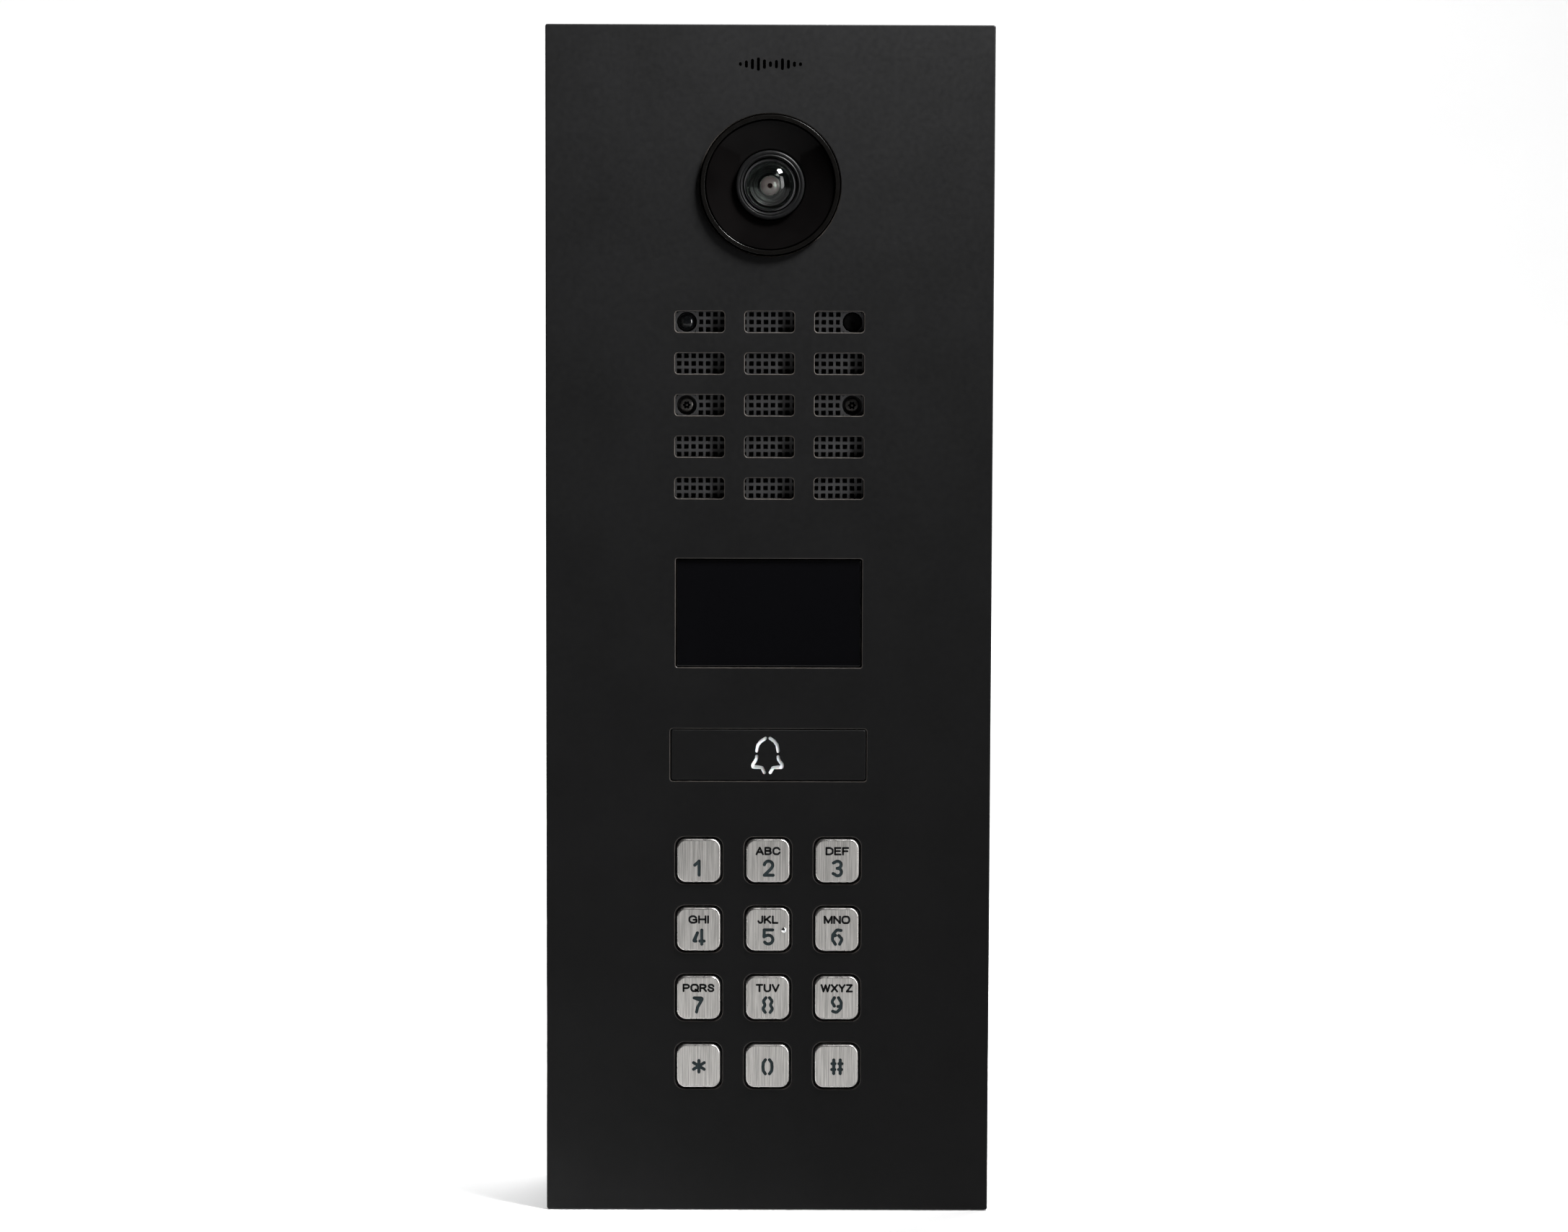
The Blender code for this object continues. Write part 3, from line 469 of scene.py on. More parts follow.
class Finish:
    """A material under construction: its nodes, its shader and a few usual patterns."""

    def __init__(self, name, base, roughness, metallic=0.0, **sockets):
        self.material = bpy.data.materials.new(name)
        self.material.use_nodes = True
        self.nodes, self.links = self.material.node_tree.nodes, self.material.node_tree.links
        self.shader = self.nodes["Principled BSDF"]
        self.base = (*base[:3], 1)
        self.put("Base Color", self.base)
        self.put("Roughness", roughness)
        self.put("Metallic", metallic)
        for socket, value in sockets.items():
            self.put(socket.replace("_", " "), value)
        self.material.diffuse_color = self.base
        FINISHES[name] = self.material

    def put(self, socket, value):
        self.shader.inputs[socket].default_value = value

    def where(self, stretch=(1, 1, 1), centre=(0, 0, 0), turn=(0, 0, 0)):
        """Object coordinates, centred on a point in millimetres, then stretched."""
        place, mapping = self.nodes.new("ShaderNodeTexCoord"), self.nodes.new("ShaderNodeMapping")
        mapping.inputs["Location"].default_value = [-c * MM * s for c, s in zip(centre, stretch)]
        mapping.inputs["Rotation"].default_value = turn
        mapping.inputs["Scale"].default_value = stretch
        self.links.new(place.outputs["Object"], mapping.inputs["Vector"])
        return mapping.outputs["Vector"]

    def noise(self, scale, detail=3.0, stretch=(1, 1, 1), rough=0.55):
        node = self.nodes.new("ShaderNodeTexNoise")
        node.inputs["Scale"].default_value = scale
        node.inputs["Detail"].default_value = detail
        node.inputs["Roughness"].default_value = rough
        self.links.new(self.where(stretch), node.inputs["Vector"])
        return node.outputs["Fac"]

    def cells(self, scale, output="Color", stretch=(1, 1, 1)):
        node = self.nodes.new("ShaderNodeTexVoronoi")
        node.inputs["Scale"].default_value = scale
        self.links.new(self.where(stretch), node.inputs["Vector"])
        return node.outputs[output]

    def rings(self, centre, scale):
        """Concentric rings about the line along Y through centre."""
        node = self.nodes.new("ShaderNodeTexWave")
        node.wave_type, node.rings_direction = "RINGS", "Y"
        node.inputs["Scale"].default_value = scale
        self.links.new(self.where(centre=centre), node.inputs["Vector"])
        return node.outputs["Fac"]

    def spread(self, source, low, high, start=0.3, end=0.7):
        """Turns a pattern into a number between low and high."""
        node = self.nodes.new("ShaderNodeMapRange")
        for socket, value in zip(("From Min", "From Max", "To Min", "To Max"), (start, end, low, high)):
            node.inputs[socket].default_value = value
        self.links.new(source, node.inputs["Value"])
        return node.outputs["Result"]

    def ramp(self, source, stops):
        node = self.nodes.new("ShaderNodeValToRGB")
        node.color_ramp.interpolation = "EASE"
        elements = node.color_ramp.elements
        while len(elements) < len(stops):
            elements.new(0.5)
        for element, (place, shade) in zip(elements, stops):
            element.position, element.color = place, (*shade[:3], 1)
        self.links.new(source, node.inputs["Fac"])
        return node.outputs["Color"]

    def shades(self, source, dark, light, start=0.3, end=0.7):
        """The base colour between dark and light times itself, by a pattern."""
        low, high = [[min(1, c * f) for c in self.base[:3]] for f in (dark, light)]
        self.links.new(self.ramp(source, [(start, low), (end, high)]), self.shader.inputs["Base Color"])
        return self

    def roughness(self, source, low, high, start=0.3, end=0.7):
        self.links.new(self.spread(source, low, high, start, end), self.shader.inputs["Roughness"])
        return self

    def bump(self, source, depth, strength=1.0):
        """Bump whose depth is in millimetres."""
        node = self.nodes.new("ShaderNodeBump")
        node.inputs["Strength"].default_value = strength
        node.inputs["Distance"].default_value = depth * MM
        self.links.new(source, node.inputs["Height"])
        last = self.shader.inputs["Normal"]
        if last.is_linked:
            self.links.new(last.links[0].from_socket, node.inputs["Normal"])
        self.links.new(node.outputs["Normal"], last)
        return self


def make_finishes(colours):
    coat = Finish("powder_coat", colours.coat, 0.44, Specular_IOR_Level=0.12)
    coat.shades(coat.noise(40, 2), 0.85, 1.2).roughness(coat.noise(700, 4), 0.44, 0.5)
    coat.bump(coat.noise(2600, 2), 0.0035).bump(coat.noise(260, 2), 0.006)

    # The cut walls and flares of the openings get a lighter, browner tone than the coat: partly a bare edge,
    # partly a painted highlight that draws lit lines round the rims.
    rim = Finish("opening_edge", (0.017, 0.0145, 0.0125), 0.4, Specular_IOR_Level=0.4)
    rim.shades(rim.noise(300, 3), 0.7, 1.4).roughness(rim.noise(900, 3), 0.34, 0.5)

    steel = Finish("brushed_steel", colours.steel, 0.34, 1.0)
    streaks = steel.noise(1.0, 5, (5200, 5200, 90), 0.65)
    steel.shades(streaks, 0.66, 1.3).roughness(steel.noise(1.0, 4, (2600, 2600, 60)), 0.27, 0.42)
    steel.bump(streaks, 0.006).bump(steel.noise(55, 2), 0.03, 0.4)

    # The key bevels get a copy of the key steel at 0.85 of its colour, without brushing: a polished band,
    # with painted shade that dims the bevels' highlights.
    polished_shaded_bevel = Finish("bevel_steel_shaded", [c * 0.85 for c in colours.steel], 0.3, 1.0)
    polished_shaded_bevel.roughness(polished_shaded_bevel.noise(900, 3), 0.24, 0.36).shades(polished_shaded_bevel.noise(300, 2), 0.93, 1.05)

    zinc = Finish("galvanised", colours.zinc, 0.42, 0.92)
    spangle = zinc.cells(150)
    zinc.shades(spangle, 0.86, 1.08, 0.1, 0.9).roughness(zinc.cells(150), 0.3, 0.55, 0.1, 0.9)
    zinc.bump(zinc.noise(900, 4), 0.01).bump(zinc.noise(38, 2), 0.12, 0.4)

    plated = Finish("plated_steel", (0.6, 0.6, 0.58), 0.3, 1.0)
    plated.shades(plated.noise(160, 3), 0.8, 1.1).roughness(plated.noise(700, 3), 0.22, 0.4)

    black_steel = Finish("blackened_steel", (0.11, 0.105, 0.1), 0.3, 0.9)
    black_steel.shades(black_steel.noise(1400, 3), 0.6, 1.5).roughness(black_steel.noise(2100, 2), 0.28, 0.5)
    black_steel.bump(black_steel.noise(3000, 2), 0.004)

    gloss = Finish("black_glass", (0.0012, 0.0012, 0.0015), 0.06, Specular_IOR_Level=0.45)
    gloss.roughness(gloss.noise(45, 4), 0.045, 0.085).bump(gloss.noise(18, 1), 0.02, 0.25)

    dish = Finish("infra_red_window", (0.0009, 0.0008, 0.0008), 0.07, Specular_IOR_Level=0.07)
    dish.roughness(dish.noise(120, 3), 0.05, 0.09).shades(dish.noise(60, 2), 0.8, 1.3)

    moulding = Finish("moulded_black", colours.moulding, 0.5, Specular_IOR_Level=0.45)
    moulding.roughness(moulding.noise(500, 3), 0.42, 0.6).shades(moulding.noise(80, 2), 0.85, 1.2)
    moulding.bump(moulding.cells(1700, "Distance"), 0.012, 0.6)

    ring = Finish("bezel_black", (0.0012, 0.0011, 0.001), 0.26, Specular_IOR_Level=0.12)
    ring.roughness(ring.noise(600, 3), 0.18, 0.28).bump(ring.noise(2400, 2), 0.004)

    collar = Finish("collar_satin", (0.0022, 0.0022, 0.0023), 0.36, Specular_IOR_Level=0.06)
    collar.bump(collar.rings(CAMERA, 900), 0.012, 0.5).roughness(collar.noise(600), 0.3, 0.46)

    barrel = Finish("ridged_barrel", (0.003, 0.003, 0.0034), 0.45, Specular_IOR_Level=0.3)
    barrel.bump(barrel.rings(CAMERA, 420), 0.12, 0.8).shades(barrel.noise(400, 2), 0.8, 1.4)

    grey = Finish("lattice_grey", colours.lattice, 0.48, Specular_IOR_Level=0.5)
    grey.shades(grey.noise(220, 3), 0.85, 1.2).roughness(grey.noise(800, 3), 0.4, 0.56)
    grey.bump(grey.noise(1900, 3), 0.01)

    glass = Finish("lens_glass", (0.5, 0.56, 0.53), 0.0, Transmission_Weight=1.0, IOR=1.28)
    glass.roughness(glass.noise(90, 2), 0.0, 0.02)

    sensor = Finish(
        "sensor_glass", (0.008, 0.009, 0.010), 0.14, Specular_IOR_Level=0.35, Coat_Weight=0.15,
        Coat_Roughness=0.05,
    )
    sensor.shades(sensor.noise(900, 2), 0.6, 1.4).roughness(sensor.noise(500, 2), 0.06, 0.16)

    core = Finish(
        "coated_lens", (0.46, 0.32, 0.34), 0.08, Specular_IOR_Level=0.9, Coat_Weight=0.6,
        Coat_Roughness=0.03,
    )
    core.shades(core.rings(CAMERA, 1150), 0.35, 1.35, 0.15, 0.85).roughness(core.noise(800, 2), 0.05, 0.14)
    pupil = Finish("coated_pupil", (0.035, 0.006, 0.006), 0.05, Specular_IOR_Level=0.8, Coat_Weight=0.6)
    pupil.shades(pupil.rings(CAMERA, 1800), 0.6, 1.5, 0.2, 0.8).roughness(pupil.noise(900, 2), 0.04, 0.1)

    rubber = Finish("rubber", colours.rubber, 0.72, Specular_IOR_Level=0.3)
    rubber.shades(rubber.noise(300, 4), 0.8, 1.3).roughness(rubber.noise(900, 2), 0.64, 0.8)
    rubber.bump(rubber.noise(1500, 3), 0.02)

    boot = Finish("boot_rubber", (0.003, 0.003, 0.003), 0.85, Specular_IOR_Level=0.08)
    boot.shades(boot.noise(500, 3), 0.7, 1.4).roughness(boot.noise(900, 2), 0.78, 0.92)

    # Painted shade: the foam is darker in the dents of the same cell pattern that bumps it.
    foam = Finish("closed_cell_foam", [c * 1.3 for c in colours.rubber], 0.9, Specular_IOR_Level=0.2)
    foam.bump(foam.cells(1500, "Distance"), 0.1).shades(foam.cells(1500, "Distance"), 0.6, 1.4, 0.1, 0.7)

    silicone = Finish("silicone", (0.42, 0.43, 0.43), 0.5, Subsurface_Weight=0.15, Subsurface_Scale=0.001)
    silicone.shades(silicone.noise(140, 3), 0.92, 1.05).roughness(silicone.noise(700, 2), 0.44, 0.58)

    diffuser = Finish(
        "white_diffuser", colours.diffuser, 0.42, Subsurface_Weight=0.2, Subsurface_Scale=0.0008
    )
    diffuser.shades(diffuser.noise(260, 2), 0.95, 1.03).roughness(diffuser.noise(1200, 2), 0.36, 0.5)

    board = Finish("circuit_board", colours.board, 0.34, Coat_Weight=0.3, Coat_Roughness=0.15)
    traces = board.cells(260, "Color", (1, 1, 0.35))
    board.shades(traces, 0.55, 1.7, 0.3, 0.75).roughness(board.noise(400, 3), 0.28, 0.42)
    board.bump(traces, 0.02, 0.5)

    felt = Finish("acoustic_felt", (0.012, 0.012, 0.013), 0.95, Sheen_Weight=0.3)
    felt.bump(felt.noise(1.0, 4, (2600, 900, 1400), 0.7), 0.12).shades(felt.noise(1800, 4), 0.5, 1.8)

    paper = Finish("paper_cone", (0.03, 0.028, 0.026), 0.85)
    paper.bump(paper.noise(1500, 5, (1, 1, 1), 0.7), 0.05).shades(paper.noise(700, 4), 0.7, 1.4)

    digit = Finish("digit_paint", colours.digit, 0.6, Specular_IOR_Level=0.15)
    digit.shades(digit.noise(900, 3), 0.85, 1.25).roughness(digit.noise(1500, 2), 0.55, 0.68)
    letter = Finish("letter_paint", colours.letter, 0.6, Specular_IOR_Level=0.1)
    letter.shades(letter.noise(1200, 3), 0.8, 1.3).roughness(letter.noise(1500, 2), 0.55, 0.66)
    # Flat black: the real fill of the engraved sound mark, and painted shade on the walls and floor of the
    # screws' star recesses.
    mark = Finish("black_fill_and_recess_shade", (0.0006, 0.0006, 0.0006), 0.8, Specular_IOR_Level=0.0)
    mark.shades(mark.noise(1200, 3), 0.8, 1.3)

    chrome = Finish("chrome", (0.8, 0.81, 0.82), 0.1, 1.0)
    chrome.roughness(chrome.noise(900, 2), 0.06, 0.15)


# ---------------------------------------------------------------- the pieces


def key_places():
    return {name: (middle(f"key_{name}").x, middle(f"key_{name}").z) for name in KEYS}


def slot_places():
    rows, columns = (2, 1, 0, -1, -2), (-1, 0, 1)
    return [(x * KEY_PITCH, GRILLE_HEIGHT + z * SLOT_PITCH) for z in rows for x in columns]


class INTERCOM_OT_front_plate(bpy.types.Operator):
    """Powder-coated front plate with its openings and an engraved sound mark"""

    bl_idname = "intercom.front_plate"
    bl_label = "Front plate"

    def execute(self, context):
        sizes = context.scene.intercom_sizes
        edge = sizes.opening_edge / MM
        low, high = corners("front_plate")
        plate = block(
            "front_plate_coated", (0, 0), (high.x - low.x, high.z - low.z), low.y, high.y, 0.6, 4,
            sizes.edge / MM,
        )
        dress(plate, "powder_coat")

        round_hole = disc(
            "cutter", (CAMERA.x, CAMERA.z), CAMERA_HOLE_RADIUS, FRONT + edge, PLATE_BACK + 1, 128
        )
        flare = (CAMERA_HOLE_RADIUS + 1.3 * edge) / CAMERA_HOLE_RADIUS
        cutters = [step_forward(round_hole, FRONT + edge, [(-1.3 * edge, flare, flare), (-1, 1, 1)])]
        slot_size = (sizes.slot_width / MM, sizes.slot_height / MM)
        cutters += [opening(place, slot_size, 1.0, edge) for place in slot_places()]
        cutters.append(opening((DISPLAY.x, DISPLAY.z), DISPLAY_OPENING, 0.6, edge))
        cutters.append(opening((BUTTON.x, BUTTON.z), BUTTON_OPENING, 0.8, edge))
        cutters += [opening(place, KEY_OPENING, 2.7, edge) for place in key_places().values()]
        # The openings' walls and flares take the lighter edge tone: a bare edge and also a painted highlight
        # round each rim.
        for cutter in cutters:
            dress(cutter, "opening_edge")

        heights = (1.0, 1.9, 2.8, 3.5, 2.5, 1.5, 2.2, 3.1, 2.4, 1.4, 1.0)
        for i, tall in enumerate(heights):
            x = (i - (len(heights) - 1) / 2) * 1.6
            bar = stroke(
                "cutter", [(0, -tall / 2 + 0.4), (0, tall / 2 - 0.4)], 0.8, FRONT - 1, FRONT + 0.9,
                (x, SOUND_MARK_HEIGHT),
            )
            dress(bar, "black_fill_and_recess_shade")
            cutters.append(bar)
        cut(plate, joined(*cutters), own_paint=True)
        finished(plate, "panel", "black_coat", "front_plate", smooth=math.radians(30))
        return {"FINISHED"}


class INTERCOM_OT_wall_box(bpy.types.Operator):
    """Galvanised wall box with knock-outs, its hanging lug, and two blind cable grommets"""

    bl_idname = "intercom.wall_box"
    bl_label = "Wall box"

    def execute(self, context):
        low, high = corners("mounting_box")
        wall, wide, tall = 1.5, high.x - low.x, high.z - low.z
        box = block("mounting_box_galvanised", (0, 0), (wide, tall), low.y, high.y, 2.0, 6)
        pick_edges(box, lambda a, b: abs(a.y - high.y) < 0.001 and abs(b.y - high.y) < 0.001)
        bpy.ops.mesh.bevel(offset=1.4 * MM, segments=4, affect="EDGES", clamp_overlap=False)
        done()
        hollow = block("cutter", (0, 0), (wide - 2 * wall, tall - 2 * wall), low.y - 1, high.y - wall, 0.8, 3)
        cut(box, hollow)
        entry_y = middle("cable_grommet_top").y
        for side in (-1, 1):
            bpy.ops.mesh.primitive_cylinder_add(
                vertices=48, radius=5.5 * MM, depth=12 * MM, location=(0, entry_y * MM, side * tall / 2 * MM)
            )
            entry = bpy.context.object
            settle(entry)
            cut(box, entry)
        earth = middle("earth_screw")
        wall_screws = [(x, z) for z in (-120, 120) for x in (-34, 34)]
        for x, z in (*wall_screws, (earth.x, earth.z)):
            cut(box, disc("cutter", (x, z), 2.0, high.y - 4, high.y + 4, 32))
        rear_knockouts = ((0, 104), (0, -30), (0, -78), (-34, 60), (34, 60))
        for x, z in rear_knockouts:
            groove = turned(
                "cutter",
                [(9.6, high.y - 0.35), (10.0, high.y - 0.5), (10.4, high.y - 0.35), (10.4, 1.0), (9.6, 1.0)],
                (x, z), 64,
            )
            cut(box, groove)
            gap = block("cutter", (x, z), (0.6, 0.6), high.y - 0.3, high.y + 1)
            cut(box, gap)
        for side in (-1, 1):
            for z in (-95, 0, 95):
                bpy.ops.mesh.primitive_torus_add(
                    major_radius=8 * MM,
                    minor_radius=0.4 * MM,
                    major_segments=48,
                    minor_segments=8,
                    location=(side * wide / 2 * MM, -22 * MM, z * MM),
                    rotation=(0, math.pi / 2, 0),
                )
                ring = bpy.context.object
                settle(ring)
                cut(box, ring)
        lug = block("lug", (0, tall / 2 - wall - 1.0), (48, 2.9), -37.0, -35.5, 0.4, 2, 0.2, 2)
        box = joined(box, lug)
        finished(box, "panel", "zinc_sheet", "mounting_box", finish="galvanised", smooth=math.radians(30))

        neck, inner = 5.2, -1.8
        profile = [
            (0, -0.6), (3.4, -0.6), (3.7, -0.3), (3.7, 1.2), (3.9, 1.5), (7.1, 1.5), (7.4, 1.35),
            (7.5, 1.05), (7.5, 0.45), (7.35, 0.3), (neck, 0.3), (neck, inner), (6.4, inner),
            (6.5, inner - 0.2), (6.1, inner - 1.2), (3.9, inner - 1.2), (3.7, inner - 1.0), (3.7, -1.1),
            (0, -1.1),
        ]
        for side, label in ((1, "top"), (-1, "bottom")):
            grommet = turned(f"cable_grommet_{label}_ribbed", profile, (0, 0), 48)
            grommet.rotation_euler = (side * math.pi / 2, 0, 0)
            grommet.location = (0, entry_y * MM, side * tall / 2 * MM)
            settle(grommet)
            finished(grommet, "panel", "rubber", f"cable_grommet_{label}", finish="rubber")
        return {"FINISHED"}


def ball_cap(ball, rim, rim_y, steps):
    """Profile of a ball's front, from its middle to a rim of the given radius."""
    centre = rim_y + math.sqrt(ball**2 - rim**2)
    radii = [rim * i / steps for i in range(steps + 1)]
    return [(radius, centre - math.sqrt(ball**2 - radius**2)) for radius in radii]


class INTERCOM_OT_camera(bpy.types.Operator):
    """Camera bezel, dished window, collar and the domed lens with what shows inside it"""

    bl_idname = "intercom.camera"
    bl_label = "Camera"

    def execute(self, context):
        at = (CAMERA.x, CAMERA.z)
        top = FRONT - 1.3
        bezel = [
            (18.6, -44.0), (18.6, top + 0.2), (18.56, top + 0.08), (18.46, top), (17.58, top),
            (17.49, top + 0.06), (17.45, top + 0.16), (17.45, -47.3), (16.6, -47.3), (16.6, -42.5),
            (21.3, -42.5), (21.3, -44.0),
        ]
        finished(
            turned("camera_bezel_ring", bezel, at, 160), "panel", "black_plastic", "camera_bezel",
            finish="bezel_black",
        )

        dish = [
            (17.15, -48.85), (17.0, -48.98), (15.6, -48.62), (13.4, -48.08), (11.4, -47.62), (9.75, -47.26),
            (9.5, -47.12), (9.5, -46.0), (17.15, -47.8),
        ]
        finished(
            turned("ir_window_dish", dish, at, 144), "panel", "gloss_black", "ir_window",
            finish="infra_red_window",
        )

        collar = [
            (7.3, -44.6), (7.3, -48.15), (7.38, -48.32), (7.6, -48.52), (7.8, -48.6), (8.0, -48.55),
            (8.06, -48.5), (8.16, -48.5), (8.22, -48.55), (8.7, -48.6), (8.95, -48.52), (9.12, -48.36),
            (9.2, -48.15), (9.2, -44.6),
        ]
        finished(
            turned("lens_collar_ring", collar, at, 128), "panel", "black_plastic", "lens_collar",
            finish="collar_satin",
        )

        rim, back = 6.1, -46.9
        dome, bowl = ball_cap(8.0, rim, -48.3, 14), ball_cap(5.6, 4.6, back, 10)[::-1]
        glass = turned("lens_dome", dome + [(rim, back)] + bowl, at, 96)
        finished(glass, "panel", "lens", "lens_glass", finish="lens_glass", smooth=math.radians(50))

        barrel = [
            (6.4, -47.75), (6.48, -47.9), (6.9, -47.9), (7.0, -47.8), (7.0, -28.0), (3.2, -28.0),
            (3.2, -44.5), (3.6, -44.9), (3.6, -45.1), (4.1, -45.4), (4.1, -45.65), (4.6, -45.95),
            (4.6, -46.2), (5.0, -46.4), (5.0, -46.6), (6.4, -46.6),
        ]
        finished(
            turned("lens_barrel_stepped", barrel, at, 96), "panel", "black_plastic", "lens_barrel",
            finish="ridged_barrel", smooth=math.radians(25),
        )

        inner = [
            (0.7, -45.87), (1.1, -45.76), (1.55, -45.55), (2.0, -45.27), (2.5, -44.9), (2.8, -44.4),
            (2.9, -44.0), (2.9, -42.0), (0.7, -42.0),
        ]
        lens = turned("inner_lens_element", inner, at, 72)
        dress(lens, "coated_lens")
        pupil = turned("pupil", [(0, -45.6), (0.35, -45.58), (0.7, -45.52), (0.7, -42.2), (0, -42.2)], at, 48)
        dress(pupil, "coated_pupil")
        retainer = turned(
            "retainer",
            [(2.55, -44.86), (2.55, -45.08), (2.6, -45.14), (2.66, -45.14), (2.72, -45.08), (2.72, -44.86)],
            at, 72,
        )
        dress(retainer, "plated_steel")
        finished(joined(lens, pupil, retainer), "panel", "lens", "inner_lens")
        return {"FINISHED"}


class INTERCOM_OT_grille(bpy.types.Operator):
    """Lattice behind the slots, with its pockets for the screws, the light sensor and the microphone"""

    bl_idname = "intercom.grille"
    bl_label = "Speech grille"

    def execute(self, context):
        sizes = context.scene.intercom_sizes
        pitch, row, hole = (sizes.mesh_pitch / MM, sizes.mesh_row / MM, sizes.mesh_hole / MM)
        low, high = corners("grille_insert")
        front, back, columns, rows = low.y, -43.0, 26, 3

        bpy.ops.mesh.primitive_plane_add(size=1, rotation=(math.pi / 2, 0, 0))
        lattice = bpy.context.object
        lattice.name = "grille_lattice"
        lattice.scale = (pitch * MM, row * MM, 1)
        settle(lattice)
        only(lattice)
        open_whole()
        bpy.ops.mesh.inset(thickness=(pitch - hole) / 2 * MM)
        bpy.ops.transform.resize(value=(1, 1, hole / (row - pitch + hole)))
        bpy.ops.mesh.delete(type="FACE")
        bpy.ops.mesh.select_all(action="SELECT")
        bpy.ops.transform.translate(
            value=(-(columns - 1) / 2 * pitch * MM, front * MM, (GRILLE_HEIGHT + 2 * SLOT_PITCH - row) * MM)
        )
        done()

        def repeated(count, step):
            tool = lattice.modifiers.new("repeat", "ARRAY")
            tool.count, tool.use_relative_offset, tool.use_constant_offset = count, False, True
            tool.constant_offset_displace = [s * MM for s in step]
            tool.use_merge_vertices, tool.merge_threshold = True, 2e-6
            only(lattice)
            bpy.ops.object.modifier_apply(modifier=tool.name)

        repeated(columns, (pitch, 0, 0))
        repeated(rows, (0, 0, row))

        band = SLOT_PITCH - rows * row
        top = GRILLE_HEIGHT + 2 * SLOT_PITCH + 1.5 * row
        lowest = top - rows * row
        pick_edges(lattice, lambda a, b: abs(a.z - lowest) < 0.01 and abs(b.z - lowest) < 0.01)
        bpy.ops.mesh.extrude_edges_move(TRANSFORM_OT_translate={"value": (0, 0, -band * MM)})
        done()
        repeated(5, (0, 0, -SLOT_PITCH))

        only(lattice)
        open_whole()
        bpy.ops.mesh.normals_make_consistent(inside=False)
        done()
        towards_front = lattice.data.polygons[0].normal.y < 0
        tool = lattice.modifiers.new("thickness", "SOLIDIFY")
        tool.thickness, tool.offset = (back - front) * MM, -1 if towards_front else 1
        only(lattice)
        bpy.ops.object.modifier_apply(modifier=tool.name)

        frame_bars = []
        half = columns / 2 * pitch
        bottom = top - 4 * SLOT_PITCH - rows * row - band
        for z, tall in (((top + high.z) / 2, high.z - top), ((bottom + low.z) / 2, bottom - low.z)):
            if tall > 0.2:
                frame_bars.append(
                    block("bar", (0, z), (high.x - low.x, tall), front + 0.01, back, 0.3, 2, 0.15, 2)
                )
        for side in (-1, 1):
            wide = (high.x - low.x) / 2 - half
            frame_bars.append(
                block(
                    "bar", (side * (half + wide / 2), (top + bottom) / 2), (wide, top - bottom),
                    front + 0.01, back, 0.2, 2, 0.15, 2,
                )
            )

        for name, place in BOSSES.items():
            cut(lattice, disc("cutter", (place.x, place.z), 3.3, front - 1, back + 1, 48))
            screw = "screw" in name
            mouth, outer = 2.65, 3.4
            profile = [(mouth + 0.12, front + 0.06), (outer, front + 0.06), (outer, -39.5)]
            profile += [(1.85, -39.5), (1.85, -41.5), (mouth, -41.5)] if screw else [(mouth, -39.5)]
            profile += [(mouth, front + 0.2)]
            frame_bars.append(turned("boss", profile, (place.x, place.z), 48))
        lattice = joined(lattice, *frame_bars)
        lattice.name = "grille_lattice"
        finished(
            lattice, "panel", "black_plastic", "grille_insert", finish="lattice_grey",
            smooth=math.radians(25),
        )
        return {"FINISHED"}


class INTERCOM_OT_screws_and_sensors(bpy.types.Operator):
    """Two security screws, the light sensor's dome and the microphone's boot"""

    bl_idname = "intercom.screws_and_sensors"
    bl_label = "Screws and sensors"

    def execute(self, context):
        head_front, head_back, end = -43.9, -41.8, -9.5
        for side in ("left", "right"):
            place = BOSSES[f"fixing_screw_{side}"]
            at = (place.x, place.z)
            thread = [(1.5 - 0.28 * (i % 2), -27.0 + 0.6 * i) for i in range(28)]
            profile = [
                (0, head_front), (1.35, head_front), (1.62, head_front + 0.07), (1.85, head_front + 0.25),
                (1.97, head_front + 0.5), (2.0, head_front + 0.8), (2.0, head_back), (1.5, head_back),
                *thread, (0.7, end), (0, end),
            ]
            screw = turned(f"fixing_screw_{side}_head", profile, at, 60)
            dress(screw, "blackened_steel")
            floor = head_front + 1.3
            lobes = [(0.93 + 0.17 * math.cos(6 * a), a) for a in (math.pi * i / 36 for i in range(72))]
            star = outlined(
                "cutter", [(r * math.cos(a), r * math.sin(a)) for r, a in lobes], head_front - 1, floor, at
            )
            # Painted shade: the star recess is painted flat black instead of showing the screw's own steel.
            cut(screw, star, paint="black_fill_and_recess_shade")
            pin = turned(
                "pin",
                [
                    (0, head_front + 0.3), (0.25, head_front + 0.33), (0.36, head_front + 0.45),
                    (0.36, floor + 0.2), (0, floor + 0.2),
                ],
                at, 24,
            )
            dress(pin, "blackened_steel")
            screw = joined(screw, pin)
            finished(screw, "panel", "screw_steel", f"fixing_screw_{side}")

        place = BOSSES["light_sensor"]
        dome = [
            (0, -44.7), (0.5, -44.68), (1.0, -44.6), (1.45, -44.42), (1.8, -44.15), (2.0, -43.85),
            (2.08, -43.6), (2.35, -43.55), (2.35, -38.0), (0, -38.0),
        ]
        sensor = turned("light_sensor_dome", dome, (place.x, place.z), 64)
        finished(sensor, "panel", "lens", "light_sensor", finish="sensor_glass")

        place = BOSSES["microphone_boot"]
        boot = [
            (0, -44.35), (0.35, -44.35), (0.4, -44.55), (1.7, -44.7), (2.1, -44.65), (2.3, -44.5),
            (2.35, -44.3), (2.35, -38.0), (1.95, -38.0), (1.95, -43.7), (0, -43.7),
        ]
        mic = turned("microphone_boot_soft", boot, (place.x, place.z), 64)
        finished(mic, "panel", "rubber", "microphone_boot", finish="boot_rubber")
        return {"FINISHED"}


